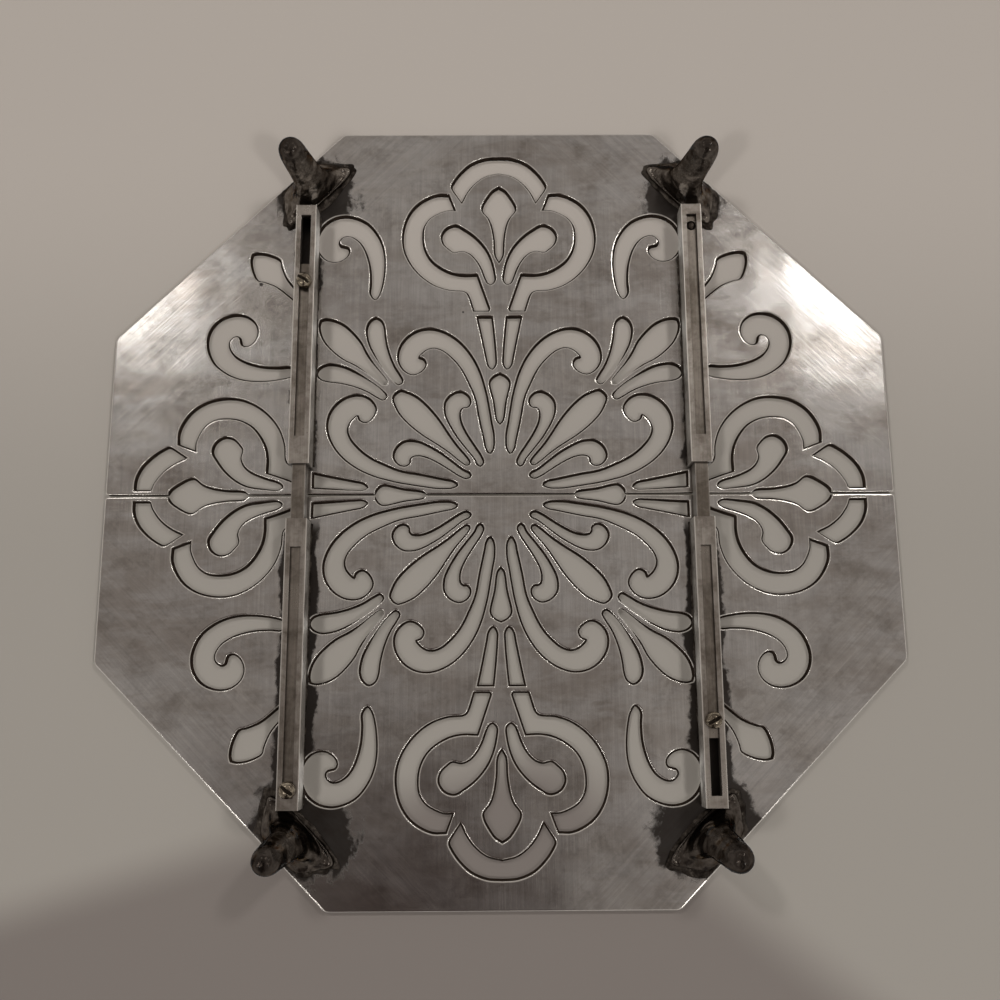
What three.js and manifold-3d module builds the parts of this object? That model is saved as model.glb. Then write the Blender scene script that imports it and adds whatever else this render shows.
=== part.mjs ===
// Expandable trivet: an eight-sided pierced plate in two halves that slide apart on two bars.
// Millimetres. It stands on its four feet at Z = 0, the plate is level on top, and the halves part along Y.
import * as THREE from "three";
import { mergeVertices } from "three/addons/utils/BufferGeometryUtils.js";
import Module from "manifold-3d";

const wasm = await Module();
wasm.setup();

// Plate
const acrossFlats = 220.6; // flat side to flat side of the closed plate
const flatHalf = 46.2; // half the length of each flat side before its corners are rounded
const plateThickness = 1.5;
const cornerRadius = 2.5;
const seamGap = 0.6; // between the two halves when they are closed
const seamCornerRadius = 1.1;
const seamLand = 1.3; // metal left between the seam and the two split end arcs
const borderWidth = 7.8; // solid metal between the pierced pattern and the flat sides
const sideDropTail = 1.9; // the side comma drops by the seam run this much further inwards,
const sideDropNeck = 8; // which they do over this length
const curveTolerance = 0.05; // how far the straight pieces of an outline may lie from its curve

// Slide bars and the channels that guide them
const railHalf = 55.6; // from the middle of the trivet to the middle of each bar
const barWidth = 3.7;
const barHeight = 5.2;
const barPlay = 16.2; // how much shorter a bar is than the room between its two end plugs
const sideClearance = 0.25; // bar to channel wall
const barGap = 0.3; // bar to plate, and bar to the channel's slotted face
const channelWall = 0.8;
const channelSeamInset = 7.7; // seam to the inner end of a channel
const channelEdgeInset = 16.5; // chamfered edge of the plate to the outer end of a channel, along Y
const plugThickness = 1.1;
const plugClearance = 0.4; // closed bar's end to the plug
const slotInnerWall = 7.8; // face left solid at the inner end of a channel
const slotOuterWall = 3.1; // face left solid at the outer end of a channel

// Screws and the stop pin
const holeWall = 0.45; // metal left in the bar on each side of a screw's hole
const threadGap = 0.3; // screw to the hole that holds it
const slotClearance = 0.3; // screw to each side of the slot
const screwDepth = 3.4; // shank inside the bar
const headLap = 0.8; // head beyond the slot on each side
const headHeight = 1.9;
const headRim = 0.5; // straight side of the head below its dome
const headLift = 0.3; // head to the channel's face
const driverSlotWidth = 0.7;
const driverSlotDepth = 0.7;
const leftFrontInset = 5.7; // front end of the left bar to its front screw
const leftRearInset = 3.7; // rear end of the left bar to its rear screw
const rightFrontInset = 4.8; // front end of the right bar to its stop pin
const rightRearInset = 4.6; // rear end of the right bar to its rear screw
const pinSink = 0.4; // stop pin's tip below the channel's face
const pinDome = 0.5; // height of its domed tip

// Feet
const footHeight = 21; // floor to the underside of the plate
const footInset = 10.2; // chamfered edge of the plate to the middle of a foot's base
const footRailInset = 3.1; // middle of the bar to the middle of a foot's base, towards the middle
const wingHalf = 12.4; // half width over a foot's two wings
const wingBack = 1.3; // base middle to the wings' straight inner edge
const wingFront = 9.2; // base middle to the wings' outer edge beside the leg
const wingEdge = 1; // thickness of the wings at their rim
const wingDepth = 5; // how far the wings reach down the leg
const legRoot = 3; // base middle to the middle of the leg at the plate
const legHalf = 3.9; // half width of the leg
const legDepth = 2.9; // half its depth, where it is thinnest
const toeRadius = 4;
const toeReach = 8.3; // base middle to the toe, outwards
const toeFlat = 1.6; // radius of the worn flat under the toe
const footClearance = 0.3; // foot to the channel beside it

// Worked out from the sizes above
const plateHalf = acrossFlats / 2;
const seamHalf = seamGap / 2;
const underside = footHeight;
const chamferReach = plateHalf + flatHalf; // x + y along a chamfered edge
const channelWidth = barWidth + 2 * sideClearance + 2 * channelWall;
const channelHeight = barHeight + 2 * barGap + channelWall;
const channelInner = channelSeamInset;
const channelOuter = chamferReach - railHalf - channelEdgeInset;
const slotInner = channelInner + slotInnerWall;
const slotOuter = channelOuter - slotOuterWall;
const barEnd = channelOuter - plugThickness - plugClearance;
const barLength = 2 * barEnd - barPlay;
const holeRadius = barWidth / 2 - holeWall;
const shankRadius = holeRadius - threadGap;
const slotWidth = 2 * (shankRadius + slotClearance);
const headRadius = slotWidth / 2 + headLap;
const channelFace = underside - channelHeight;
const barUnder = underside - barGap - barHeight;

// Pierced outlines. Each is drawn once, in one eighth of the pattern: a is the distance across from the
// middle line of an arm and b the distance out along it. An outline is a list of runs that meet at corners,
// and a run is a smooth curve through its points.
const outlines = {
  cArc: [
    [[15, 90.6], [18.2, 90.6], [21.5, 89.3], [24.6, 86.9], [26.9, 83.2], [28, 78.3], [27.7, 73.9],
      [26, 69.7], [23, 65.8], [19, 62.8], [14.5, 61.2], [10.3, 60.8], [9.1, 60], [7.2, 54.7]],
    [[7.2, 54.7], [3.3, 54.7]],
    [[3.1, 55.1], [6.6, 65.4]],
    [[6.6, 65.4], [10.5, 65.3], [14, 66], [17.5, 67.8], [20.3, 70.3], [22.1, 73.8], [22.65, 77.5],
      [22.2, 81], [20.4, 83.7], [17.8, 85.3], [15.2, 86.2], [13.3, 86.2]],
  ],
  commaDrop: [
    [[2.4, 62.9], [1.5, 63.9], [1.6, 66], [2.5, 70], [4.2, 73.7], [7, 77.1], [10.2, 79.6], [12.7, 80.9],
      [15.2, 80.1], [16.6, 77.9], [16.2, 75.6], [14.5, 73.8], [13.2, 72.95], [10.8, 73.35], [8.4, 72.4],
      [6.4, 70.2], [5, 67.6], [3.9, 64.6], [3.3, 63.4], [2.4, 62.9]],
  ],
  wedge: [
    [[2.35, 52.4], [6.1, 52.4]],
    [[6.1, 52.4], [4.95, 47], [3.75, 41], [3.15, 38.2], [2.2, 37.1], [1.35, 38.3], [1.35, 41], [1.8, 47],
      [2.35, 52.4]],
  ],
  longScroll: [
    [[23.5, 40.4], [22.3, 42.1], [20.6, 43.2], [18.7, 43.5], [16.3, 42.7], [13.6, 40.5], [11.2, 37.7],
      [9.2, 34.1], [7.6, 30], [6.3, 25.5], [5.3, 20.7], [4.2, 15.6], [3.8, 13.6], [2.95, 12.2],
      [2.15, 13.5], [1.95, 16.5], [2.5, 22], [3.6, 28], [5.3, 34.2], [7.7, 39.7], [11.2, 44.4],
      [15.2, 47.4], [19.5, 48.8], [23.4, 48.3], [26.6, 46.2], [28.6, 43], [28.9, 39.6], [27.5, 36.9],
      [25, 35.5], [22.7, 36.4], [21.4, 38.1], [22, 39.7], [23.5, 40.4]],
  ],
  plume: [
    [[5.6, 8.4], [4.95, 9.4], [5.6, 11.2], [7.4, 14], [9.6, 17.5], [11.1, 20.6], [11.6, 23], [11.3, 24.9],
      [10.4, 25.6], [9.3, 25.6], [8.4, 26.7], [8.8, 28.6], [11, 29.9], [13.6, 29.1], [15.3, 27],
      [15.4, 24], [14.3, 20.8], [12.3, 17], [9.8, 13.6], [7.3, 10.4], [6.5, 8.9], [5.6, 8.4]],
  ],
  petal: [
    [[28.9, 32.3], [28, 33.2], [28.7, 34.8], [30.3, 37.4], [31.6, 40.3], [32.6, 43.5], [33.2, 46.5],
      [33.6, 49.6], [34.3, 51.3], [35.8, 52.2], [37.3, 51.2], [38.1, 49.2], [37.9, 46.6], [36.8, 42.8],
      [34.9, 39], [32.6, 35.4], [30.7, 33.3], [28.9, 32.3]],
  ],
  commaScroll: [
    [[36.1, 58.4], [35, 59.9], [34.2, 63], [33.7, 67.5], [33.8, 71.5], [34.6, 75.2], [36.2, 78.5],
      [38.7, 81.5], [42, 83.3], [45.3, 83.9], [48.6, 83.2], [51.3, 81.2], [52.9, 78.2], [53.2, 75],
      [52.4, 72.6], [50.6, 70.7], [48.3, 70], [46.2, 70.5], [44.7, 71.7], [44.15, 73], [44.5, 74],
      [45.6, 74.35], [46.7, 74.7], [47.25, 75.9], [46.6, 77.3], [45.3, 78.1], [43.3, 77.9], [41, 76.4],
      [39.3, 73.9], [38.1, 70.7], [37.4, 67.3], [37.2, 63], [37.3, 60], [36.1, 58.4]],
  ],
};

// Halves of outlines that lie across a mirror line: the arm's middle line for the first three, where the
// points run from the outer end inwards, and the diagonal a = b for the last three.
const armHalves = {
  endArcOuter: [[0, 102.5], [4, 102.2], [8, 100.6], [11, 97.9], [12.9, 95.3], [13.75, 93.4], [13.3, 92.3]],
  endArcInner: [[11, 88.8], [9.6, 91.7], [7.2, 94.8], [4, 97.1], [0, 98.1]],
  ogee: [[0, 93], [1.6, 92], [3.3, 89.7], [4.5, 87.4], [4.7, 86], [2.9, 83.5], [1.9, 80.8], [1.2, 76.5],
    [0.9, 71.8], [0, 69.9]],
  smallTear: [[0, 35.2], [1.3, 34.6], [2.4, 33.6], [2.75, 32.6], [1.75, 27.5], [0.9, 21.6], [0, 20.5]],
};
const diagonalHalves = {
  innerTear: [[29.55, 29.55], [28.4, 30.25], [26.6, 29.8], [24, 28.5], [21.2, 26.1], [18.5, 23],
    [15.6, 19], [12.4, 14.6], [9.4, 11], [8.5, 9.5], [8.75, 8.75]],
  outerTear: [[51.5, 51.5], [50.3, 51.8], [47.8, 51.4], [45, 50], [42.4, 47.6], [40.3, 45], [38.5, 42],
    [36.3, 39], [33.8, 36.1], [32, 33.7], [31.8, 32.7], [32.15, 32.15]],
  cornerDrop: [[72, 72], [70.8, 72.3], [67.8, 71.9], [64.3, 70.2], [63.9, 68.6], [62.3, 64.7],
    [58.8, 60.3], [56.7, 57.7], [56.7, 56.7]],
};
const patternReach = armHalves.endArcOuter[0][1]; // the pattern's outermost point, as drawn above
const patternScale = (plateHalf - borderWidth) / patternReach;

// Leaves out points of a dense line that its straight pieces don't need to stay within the tolerance.
function thinned(points) {
  const kept = [points[0]];
  let from = points[0];
  let between = [];
  for (const to of points.slice(1)) {
    const chord = to.clone().sub(from);
    const off = (point) => Math.abs(chord.cross(point.clone().sub(from))) / chord.length();
    if (between.some((point) => off(point) > curveTolerance)) {
      from = between[between.length - 1];
      kept.push(from);
      between = [];
    }
    between.push(to);
  }
  return [...kept, points[points.length - 1]];
}

// A smooth curve through the points, as a list of [x, y].
function smooth(points) {
  if (points.length < 3) return points;
  const through = points.map(([x, y]) => new THREE.Vector3(x, y, 0));
  const closed = through[0].equals(through[through.length - 1]);
  if (closed) through.pop();
  const curve = new THREE.CatmullRomCurve3(through, closed, "centripetal");
  const stepsPerSpan = 8;
  const dense = curve.getPoints(points.length * stepsPerSpan);
  return thinned(dense.map(({ x, y }) => new THREE.Vector2(x, y))).map(({ x, y }) => [x, y]);
}

// Drops a point that repeats the one before it, around the whole loop.
function withoutRepeats(points) {
  const near = 0.01;
  return points.filter(([x, y], i) => {
    const [px, py] = points[(i + points.length - 1) % points.length];
    return Math.hypot(x - px, y - py) > near;
  });
}

const loopOfRuns = (runs) => withoutRepeats(runs.flatMap(smooth));
const mirrored = (half, mirror) => withoutRepeats([...half, ...half.slice().reverse().map(mirror)]);
const acrossArm = ([a, b]) => [-a, b];
const acrossDiagonal = ([a, b]) => [b, a];

// The half of an outline that starts and ends on the middle line, cut off at the seam's edge.
function cutAtSeam(half) {
  const edge = seamHalf / patternScale;
  const cut = [];
  half.forEach(([a, b], i) => {
    if (i) {
      const [pa, pb] = half[i - 1];
      if ((pa - edge) * (a - edge) < 0) {
        const share = (edge - pa) / (a - pa);
        cut.push([edge, pb + share * (b - pb)]);
      }
    }
    if (a > edge) cut.push([a, b]);
  });
  return cut;
}

// The end arc on one side of the seam, which stops at its own small land.
function splitEndArc() {
  const land = (seamHalf + seamLand) / patternScale;
  const outer = smooth(armHalves.endArcOuter).filter(([a]) => a > land);
  const inner = smooth(armHalves.endArcInner).filter(([a]) => a > land);
  const crown = armHalves.endArcOuter[0][1];
  const sole = armHalves.endArcInner[armHalves.endArcInner.length - 1][1];
  return [[land, crown], ...outer, ...inner, [land, sole]];
}

// Every closed hole of one half plate, for the half on the +Y side, as loops of [x, y].
function holesOfHalf() {
  const holes = [];
  const tailEnd = outlines.commaDrop[0][0][1];
  const tailShift = (b) => sideDropTail * Math.max(0, 1 - (b - tailEnd) / sideDropNeck);
  for (const side of [-1, 1]) {
    for (const [name, runs] of Object.entries(outlines)) {
      const loop = loopOfRuns(runs);
      holes.push(loop.map(([a, b]) => [side * a, b]));
      const shift = name === "commaDrop" ? tailShift : () => 0;
      holes.push(loop.map(([a, b]) => [side * (b - shift(b)), a]));
    }
    for (const half of Object.values(diagonalHalves)) {
      const loop = mirrored(smooth(half), acrossDiagonal);
      holes.push(loop.map(([a, b]) => [side * a, b]));
    }
    holes.push(splitEndArc().map(([a, b]) => [side * b, a]));
  }
  const endArc = [...smooth(armHalves.endArcOuter), ...smooth(armHalves.endArcInner)];
  holes.push(mirrored(endArc, acrossArm));
  holes.push(mirrored(smooth(armHalves.ogee), acrossArm));
  holes.push(mirrored(smooth(armHalves.smallTear), acrossArm));
  return holes.map((loop) => loop.map(([x, y]) => [x * patternScale, y * patternScale]));
}

// Points of the arc that rounds a corner.
function rounded(before, corner, after, radius, steps) {
  const c = new THREE.Vector2(...corner);
  const toBefore = new THREE.Vector2(...before).sub(c).normalize();
  const toAfter = new THREE.Vector2(...after).sub(c).normalize();
  const half = Math.acos(toBefore.dot(toAfter)) / 2;
  const reach = radius / Math.tan(half);
  const start = c.clone().addScaledVector(toBefore, reach);
  const end = c.clone().addScaledVector(toAfter, reach);
  const curve = new THREE.QuadraticBezierCurve(start, c, end);
  return curve.getPoints(steps).map((point) => [point.x, point.y]);
}

// Outline of the half plate on the +Y side, with the openings that the seam cuts through.
function halfOutline() {
  const corners = [
    [-plateHalf, seamHalf],
    [plateHalf, seamHalf],
    [plateHalf, flatHalf],
    [flatHalf, plateHalf],
    [-flatHalf, plateHalf],
    [-plateHalf, flatHalf],
  ];
  const cornerSteps = 3;
  const arcAt = (i) => {
    const radius = i < 2 ? seamCornerRadius : cornerRadius;
    return rounded(corners[(i + 5) % 6], corners[i], corners[(i + 1) % 6], radius, cornerSteps);
  };
  const notch = (half) => cutAtSeam(smooth(half)).map(([a, b]) => [b * patternScale, a * patternScale]);
  const onRight = [notch(armHalves.smallTear).reverse(), notch(armHalves.ogee).reverse()];
  const onLeft = [notch(armHalves.ogee), notch(armHalves.smallTear)];
  const outline = [...arcAt(0)];
  onLeft.forEach((cut) => outline.push(...cut.map(([x, y]) => [-x, y])));
  onRight.forEach((cut) => outline.push(...cut));
  for (let i = 1; i < corners.length; i += 1) outline.push(...arcAt(i));
  return withoutRepeats(outline);
}

// A half plate: direction is +1 for the rear half and -1 for the front half.
function platePiece(direction) {
  const turn = ([x, y]) => new THREE.Vector2(x * direction, y * direction);
  const shape = new THREE.Shape(halfOutline().map(turn));
  shape.holes = holesOfHalf().map((loop) => new THREE.Path(loop.map(turn)));
  const geometry = new THREE.ExtrudeGeometry(shape, { depth: plateThickness, bevelEnabled: false });
  geometry.translate(0, 0, underside);
  return geometry;
}

// Booleans on closed meshes.
function solidOf(geometry) {
  const bare = geometry.clone();
  bare.deleteAttribute("normal");
  bare.deleteAttribute("uv");
  const merged = mergeVertices(bare, 1e-4);
  return new wasm.Manifold(
    new wasm.Mesh({
      numProp: 3,
      vertProperties: merged.attributes.position.array,
      triVerts: new Uint32Array(merged.index.array),
    }),
  );
}

function geometryOf(solid) {
  const mesh = solid.getMesh();
  const geometry = new THREE.BufferGeometry();
  geometry.setAttribute("position", new THREE.BufferAttribute(mesh.vertProperties, 3));
  geometry.setIndex(new THREE.BufferAttribute(mesh.triVerts, 1));
  geometry.computeVertexNormals();
  return geometry;
}

function box(x0, x1, y0, y1, z0, z1) {
  const geometry = new THREE.BoxGeometry(x1 - x0, y1 - y0, z1 - z0);
  return geometry.translate((x0 + x1) / 2, (y0 + y1) / 2, (z0 + z1) / 2);
}

const spare = 1; // how far a cutting block runs past what it cuts
const roundSides = 20; // flat sides of each screw, pin and hole

// Guide channel: a U with its open side against the plate and a slot along its face.
function channelPiece(x, direction) {
  const along = (from, to) => (direction > 0 ? [from, to] : [-to, -from]);
  const half = channelWidth / 2;
  const inner = half - channelWall;
  const [y0, y1] = along(channelInner, channelOuter);
  const [s0, s1] = along(slotInner, slotOuter);
  const outside = solidOf(box(x - half, x + half, y0, y1, channelFace, underside));
  const hollow = solidOf(
    box(x - inner, x + inner, y0 - spare, y1 + spare, channelFace + channelWall, underside + spare),
  );
  const slot = solidOf(
    box(x - slotWidth / 2, x + slotWidth / 2, s0, s1, channelFace - spare, channelFace + channelWall + spare),
  );
  return geometryOf(outside.subtract(hollow).subtract(slot));
}

// Plug that closes the outer end of a channel.
function plugPiece(x, direction) {
  const inner = channelWidth / 2 - channelWall;
  const near = direction * (channelOuter - plugThickness);
  const far = direction * channelOuter;
  return box(x - inner, x + inner, Math.min(near, far), Math.max(near, far), channelFace + channelWall, underside);
}

// Slide bar with a blind hole for each of its stops.
function barPiece(x, y0, stops) {
  let bar = solidOf(
    box(x - barWidth / 2, x + barWidth / 2, y0, y0 + barLength, barUnder, barUnder + barHeight),
  );
  const depth = screwDepth + threadGap;
  for (const y of stops) {
    const drill = new THREE.CylinderGeometry(holeRadius, holeRadius, depth + spare, roundSides);
    drill.rotateX(Math.PI / 2).translate(x, y, barUnder + (depth - spare) / 2);
    bar = bar.subtract(solidOf(drill));
  }
  return geometryOf(bar);
}

// Turned piece: profile is a list of [radius, height] that starts and ends on the axis.
function turned(profile) {
  const points = profile.map(([r, z]) => new THREE.Vector2(r, z));
  return new THREE.LatheGeometry(points, roundSides).rotateX(Math.PI / 2);
}

// Round-headed screw. It stands at the origin with its head's flat underside at Z = 0 and its dome downwards.
function screwGeometry(turnAngle) {
  const domeSteps = 4;
  const profile = [[0, -headHeight]];
  for (let i = 1; i <= domeSteps; i += 1) {
    const angle = (i / domeSteps) * (Math.PI / 2);
    profile.push([headRadius * Math.sin(angle), -headRim - (headHeight - headRim) * Math.cos(angle)]);
  }
  const shankTop = headLift + channelWall + barGap + screwDepth;
  profile.push([headRadius, 0], [shankRadius, 0], [shankRadius, shankTop], [0, shankTop]);
  const body = solidOf(turned(profile));
  const slot = box(
    -headRadius - spare,
    headRadius + spare,
    -driverSlotWidth / 2,
    driverSlotWidth / 2,
    -headHeight - spare,
    -headHeight + driverSlotDepth,
  ).rotateZ(turnAngle);
  return geometryOf(body.subtract(solidOf(slot)));
}

// Headless stop pin with a domed tip, which stays inside the slot.
function pinGeometry() {
  const tip = -channelWall + pinSink - barGap;
  const profile = [
    [0, tip],
    [shankRadius * 0.6, tip + 0.3 * pinDome],
    [shankRadius, tip + pinDome],
    [shankRadius, screwDepth],
    [0, screwDepth],
  ];
  return turned(profile);
}

// Closed skin through rings of equal counts, from the top ring down.
function loft(rings) {
  const count = rings[0].length;
  const positions = rings.flat().flatMap((point) => [point.x, point.y, point.z]);
  const index = [];
  for (let r = 0; r + 1 < rings.length; r += 1) {
    for (let i = 0; i < count; i += 1) {
      const next = (i + 1) % count;
      const a = r * count + i;
      const b = r * count + next;
      index.push(a, a + count, b, b, a + count, b + count);
    }
  }
  const last = (rings.length - 1) * count;
  for (let i = 1; i + 1 < count; i += 1) {
    index.push(0, i, i + 1);
    index.push(last, last + i + 1, last + i);
  }
  const geometry = new THREE.BufferGeometry();
  geometry.setAttribute("position", new THREE.Float32BufferAttribute(positions, 3));
  geometry.setIndex(index);
  return geometry;
}

// A foot about the middle of its base: X is outwards, Y sideways and Z = 0 the underside of the plate.
// Its top is a shield with a straight inner edge and two wings, which draws in to an oval leg.
function footGeometry() {
  const shieldHalf = [
    [wingFront, 0],
    [wingFront, 0.3 * wingHalf],
    [0.95 * wingFront, 0.53 * wingHalf],
    [0.62 * wingFront, 0.76 * wingHalf],
    [0.26 * wingFront, 0.94 * wingHalf],
    [0.07 * wingFront, wingHalf],
    [-0.5 * wingBack, 0.91 * wingHalf],
    [-wingBack, 0.48 * wingHalf],
    [-wingBack, 0],
  ];
  const sides = 2 * (shieldHalf.length - 1);
  const shield = [...shieldHalf, ...shieldHalf.slice(1, -1).reverse().map(([p, q]) => [p, -q])];
  const mid = (share) => legRoot + share * (toeReach - legRoot);
  const levels = [
    { down: 0, wings: 1, out: mid(0.04), across: 1.25 * legHalf, deep: 1.5 * legDepth },
    { down: wingEdge, wings: 1, out: mid(0), across: 1.2 * legHalf, deep: 1.4 * legDepth },
    { down: 0.45 * wingDepth, wings: 0.55, out: mid(0), across: 1.15 * legHalf, deep: 1.3 * legDepth },
    { down: 0.75 * wingDepth, wings: 0.2, out: mid(0), across: 1.05 * legHalf, deep: 1.1 * legDepth },
    { down: 1.1 * wingDepth, wings: 0, out: mid(0), across: legHalf, deep: legDepth },
    { down: 0.4 * footHeight, wings: 0, out: mid(0.08), across: 0.96 * legHalf, deep: legDepth },
    { down: 0.54 * footHeight, wings: 0, out: mid(0.35), across: 0.96 * legHalf, deep: legDepth },
    { down: 0.68 * footHeight, wings: 0, out: mid(0.7), across: legHalf, deep: 0.88 * toeRadius },
    { down: 0.79 * footHeight, wings: 0, out: mid(0.93), across: toeRadius, deep: toeRadius },
    { down: 0.89 * footHeight, wings: 0, out: toeReach, across: 0.9 * toeRadius, deep: 0.9 * toeRadius },
    { down: 0.96 * footHeight, wings: 0, out: toeReach, across: 0.68 * toeRadius, deep: 0.68 * toeRadius },
    { down: footHeight, wings: 0, out: toeReach, across: toeFlat, deep: toeFlat },
  ];
  const ringAt = ({ down, wings, out, across, deep }) =>
    shield.map(([p, q], i) => {
      const angle = (i / sides) * Math.PI * 2;
      const leg = new THREE.Vector3(out + deep * Math.cos(angle), across * Math.sin(angle), -down);
      return leg.lerp(new THREE.Vector3(p, q, -down), wings);
    });
  return loft(levels.map(ringAt));
}

// Foot at one corner; sideX and sideY are the signs of its place. It is cut clear of the channel beside it.
function footPiece(sideX, sideY) {
  const baseX = railHalf - footRailInset;
  const baseY = chamferReach - footInset * Math.SQRT2 - baseX;
  const place = new THREE.Matrix4()
    .makeTranslation(sideX * baseX, sideY * baseY, underside)
    .multiply(new THREE.Matrix4().makeRotationZ(Math.atan2(sideY, sideX)));
  const foot = solidOf(footGeometry().applyMatrix4(place));
  const half = channelWidth / 2 + footClearance;
  const x = sideX * railHalf;
  const end = sideY * (channelOuter + footClearance);
  const clear = box(
    x - half,
    x + half,
    Math.min(0, end),
    Math.max(0, end),
    channelFace - footClearance,
    underside + spare,
  );
  return geometryOf(foot.subtract(solidOf(clear)));
}

// Materials
const finish = (color, roughness, metalness) => () =>
  new THREE.MeshStandardMaterial({ color, roughness, metalness });
const platedSilver = finish(0xb4aca2, 0.34, 1);
const duller = finish(0xa29a90, 0.42, 1);
const barMetal = finish(0x9a9188, 0.38, 1);
const darkCast = finish(0x3f3a36, 0.3, 1);
const screwBrass = finish(0x7a6348, 0.36, 1);
const pinSteel = finish(0x4a4644, 0.45, 1);

const trivet = new THREE.Group();

function add(group, name, geometry, material) {
  const mesh = new THREE.Mesh(geometry, material());
  mesh.name = name;
  group.add(mesh);
  return mesh;
}

// The two halves with what is soldered to them. Front is -Y.
for (const [half, direction] of [["front", -1], ["rear", 1]]) {
  const group = new THREE.Group();
  trivet.add(group);
  add(group, `${half}_plate`, platePiece(direction), platedSilver);
  for (const [side, sign] of [["left", -1], ["right", 1]]) {
    add(group, `${half}_${side}_channel`, channelPiece(sign * railHalf, direction), duller);
    add(group, `${half}_${side}_end_plug`, plugPiece(sign * railHalf, direction), duller);
    add(group, `${half}_${side}_foot`, footPiece(sign, direction), darkCast);
  }
}

// The two slide bars. The left bar is stored towards the rear and the right bar towards the front.
const screwSeat = channelFace - headLift;
const bars = [
  { side: "left", y0: barEnd - barLength, frontInset: leftFrontInset, rearInset: leftRearInset },
  { side: "right", y0: -barEnd, frontInset: rightFrontInset, rearInset: rightRearInset },
];
for (const { side, y0, frontInset, rearInset } of bars) {
  const group = new THREE.Group();
  trivet.add(group);
  const x = side === "left" ? -railHalf : railHalf;
  const front = y0 + frontInset;
  const rear = y0 + barLength - rearInset;
  add(group, `${side}_slide_bar`, barPiece(x, y0, [front, rear]), barMetal);
  const headless = side === "right";
  if (headless) {
    const pin = add(group, `${side}_front_stop_pin`, pinGeometry(), pinSteel);
    pin.position.set(x, front, barUnder);
  } else {
    const screw = add(group, `${side}_front_screw`, screwGeometry(0.6), screwBrass);
    screw.position.set(x, front, screwSeat);
  }
  const rearScrew = add(group, `${side}_rear_screw`, screwGeometry(side === "left" ? 0.66 : -0.5), screwBrass);
  rearScrew.position.set(x, rear, screwSeat);
}

export default trivet;
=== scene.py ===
import math

import bpy
import numpy as np
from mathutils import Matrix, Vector
from mathutils.geometry import delaunay_2d_cdt


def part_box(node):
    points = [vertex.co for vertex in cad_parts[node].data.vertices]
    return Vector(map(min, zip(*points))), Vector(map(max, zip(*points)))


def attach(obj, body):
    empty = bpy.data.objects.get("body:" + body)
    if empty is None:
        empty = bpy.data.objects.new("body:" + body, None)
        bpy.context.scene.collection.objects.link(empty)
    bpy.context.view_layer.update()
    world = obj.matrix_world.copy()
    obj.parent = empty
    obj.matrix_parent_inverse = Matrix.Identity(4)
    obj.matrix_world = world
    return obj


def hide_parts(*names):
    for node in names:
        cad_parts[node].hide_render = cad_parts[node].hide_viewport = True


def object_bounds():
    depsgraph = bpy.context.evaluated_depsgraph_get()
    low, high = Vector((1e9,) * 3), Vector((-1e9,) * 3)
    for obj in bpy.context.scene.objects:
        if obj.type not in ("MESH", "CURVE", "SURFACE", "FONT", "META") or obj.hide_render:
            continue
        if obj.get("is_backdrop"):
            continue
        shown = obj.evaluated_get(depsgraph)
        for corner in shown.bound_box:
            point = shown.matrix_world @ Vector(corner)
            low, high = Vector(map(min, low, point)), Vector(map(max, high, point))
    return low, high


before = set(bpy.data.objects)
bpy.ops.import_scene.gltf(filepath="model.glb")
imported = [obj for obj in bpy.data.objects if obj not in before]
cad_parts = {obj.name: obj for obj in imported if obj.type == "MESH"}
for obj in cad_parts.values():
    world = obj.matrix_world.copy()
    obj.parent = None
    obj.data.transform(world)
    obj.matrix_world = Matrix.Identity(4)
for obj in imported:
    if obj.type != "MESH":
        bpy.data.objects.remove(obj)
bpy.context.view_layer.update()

mm = 0.001


# Small helpers for meshes

def newPiece(name, points, faces, body, material):
    # A mesh object from an array of points in millimetres and a list or array of faces.
    mesh = bpy.data.meshes.new(name)
    mesh.from_pydata((np.asarray(points) * mm).tolist(), [], [list(face) for face in faces])
    mesh.validate()
    mesh.polygons.foreach_set("use_smooth", np.ones(len(mesh.polygons), dtype=bool))
    mesh.materials.append(material)
    piece = bpy.data.objects.new(name, mesh)
    bpy.context.scene.collection.objects.link(piece)
    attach(piece, body)
    return piece


def paintAttribute(piece, name, values):
    # One number for each vertex, for the materials to read.
    attribute = piece.data.attributes.new(name, "FLOAT", "POINT")
    attribute.data.foreach_set("value", np.asarray(values, dtype=np.float32))


def gridFaces(rows, columns):
    # Quads between the rows of a grid whose columns run round; points count row by row
    r = np.arange(rows - 1)[:, None]
    c = np.arange(columns)[None, :]
    following = (c + 1) % columns
    quads = np.stack([r * columns + c, r * columns + following,
                      (r + 1) * columns + following, (r + 1) * columns + c], axis=-1)
    return quads.reshape(-1, 4)


def smoothNoise(count, waves, seed, closed=True):
    # A smooth random curve of unit size: a sum of sine waves with seeded phases and fading sizes.
    chance = np.random.default_rng(seed)
    t = np.linspace(0, 2 * np.pi, count, endpoint=not closed)
    wave = np.arange(1, waves + 1)[:, None]
    phase = chance.uniform(0, 2 * np.pi, (waves, 1))
    size = chance.uniform(0.4, 1, (waves, 1)) / np.sqrt(wave)
    curve = (size * np.sin(wave * t[None, :] + phase)).sum(axis=0)
    return curve / np.abs(curve).max()


# Camera: where the photograph was taken from, below the plate with the feet towards the lens
photoView = {
    "position": (-0.00153, 0.05927, -0.26726),
    "tilt": 0.1975,  # radians off straight up
    "yaw": 0.0048,
    "roll": 0.0046,
    "lens": 37.86,
    "sensor": 36.0,
}


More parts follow.
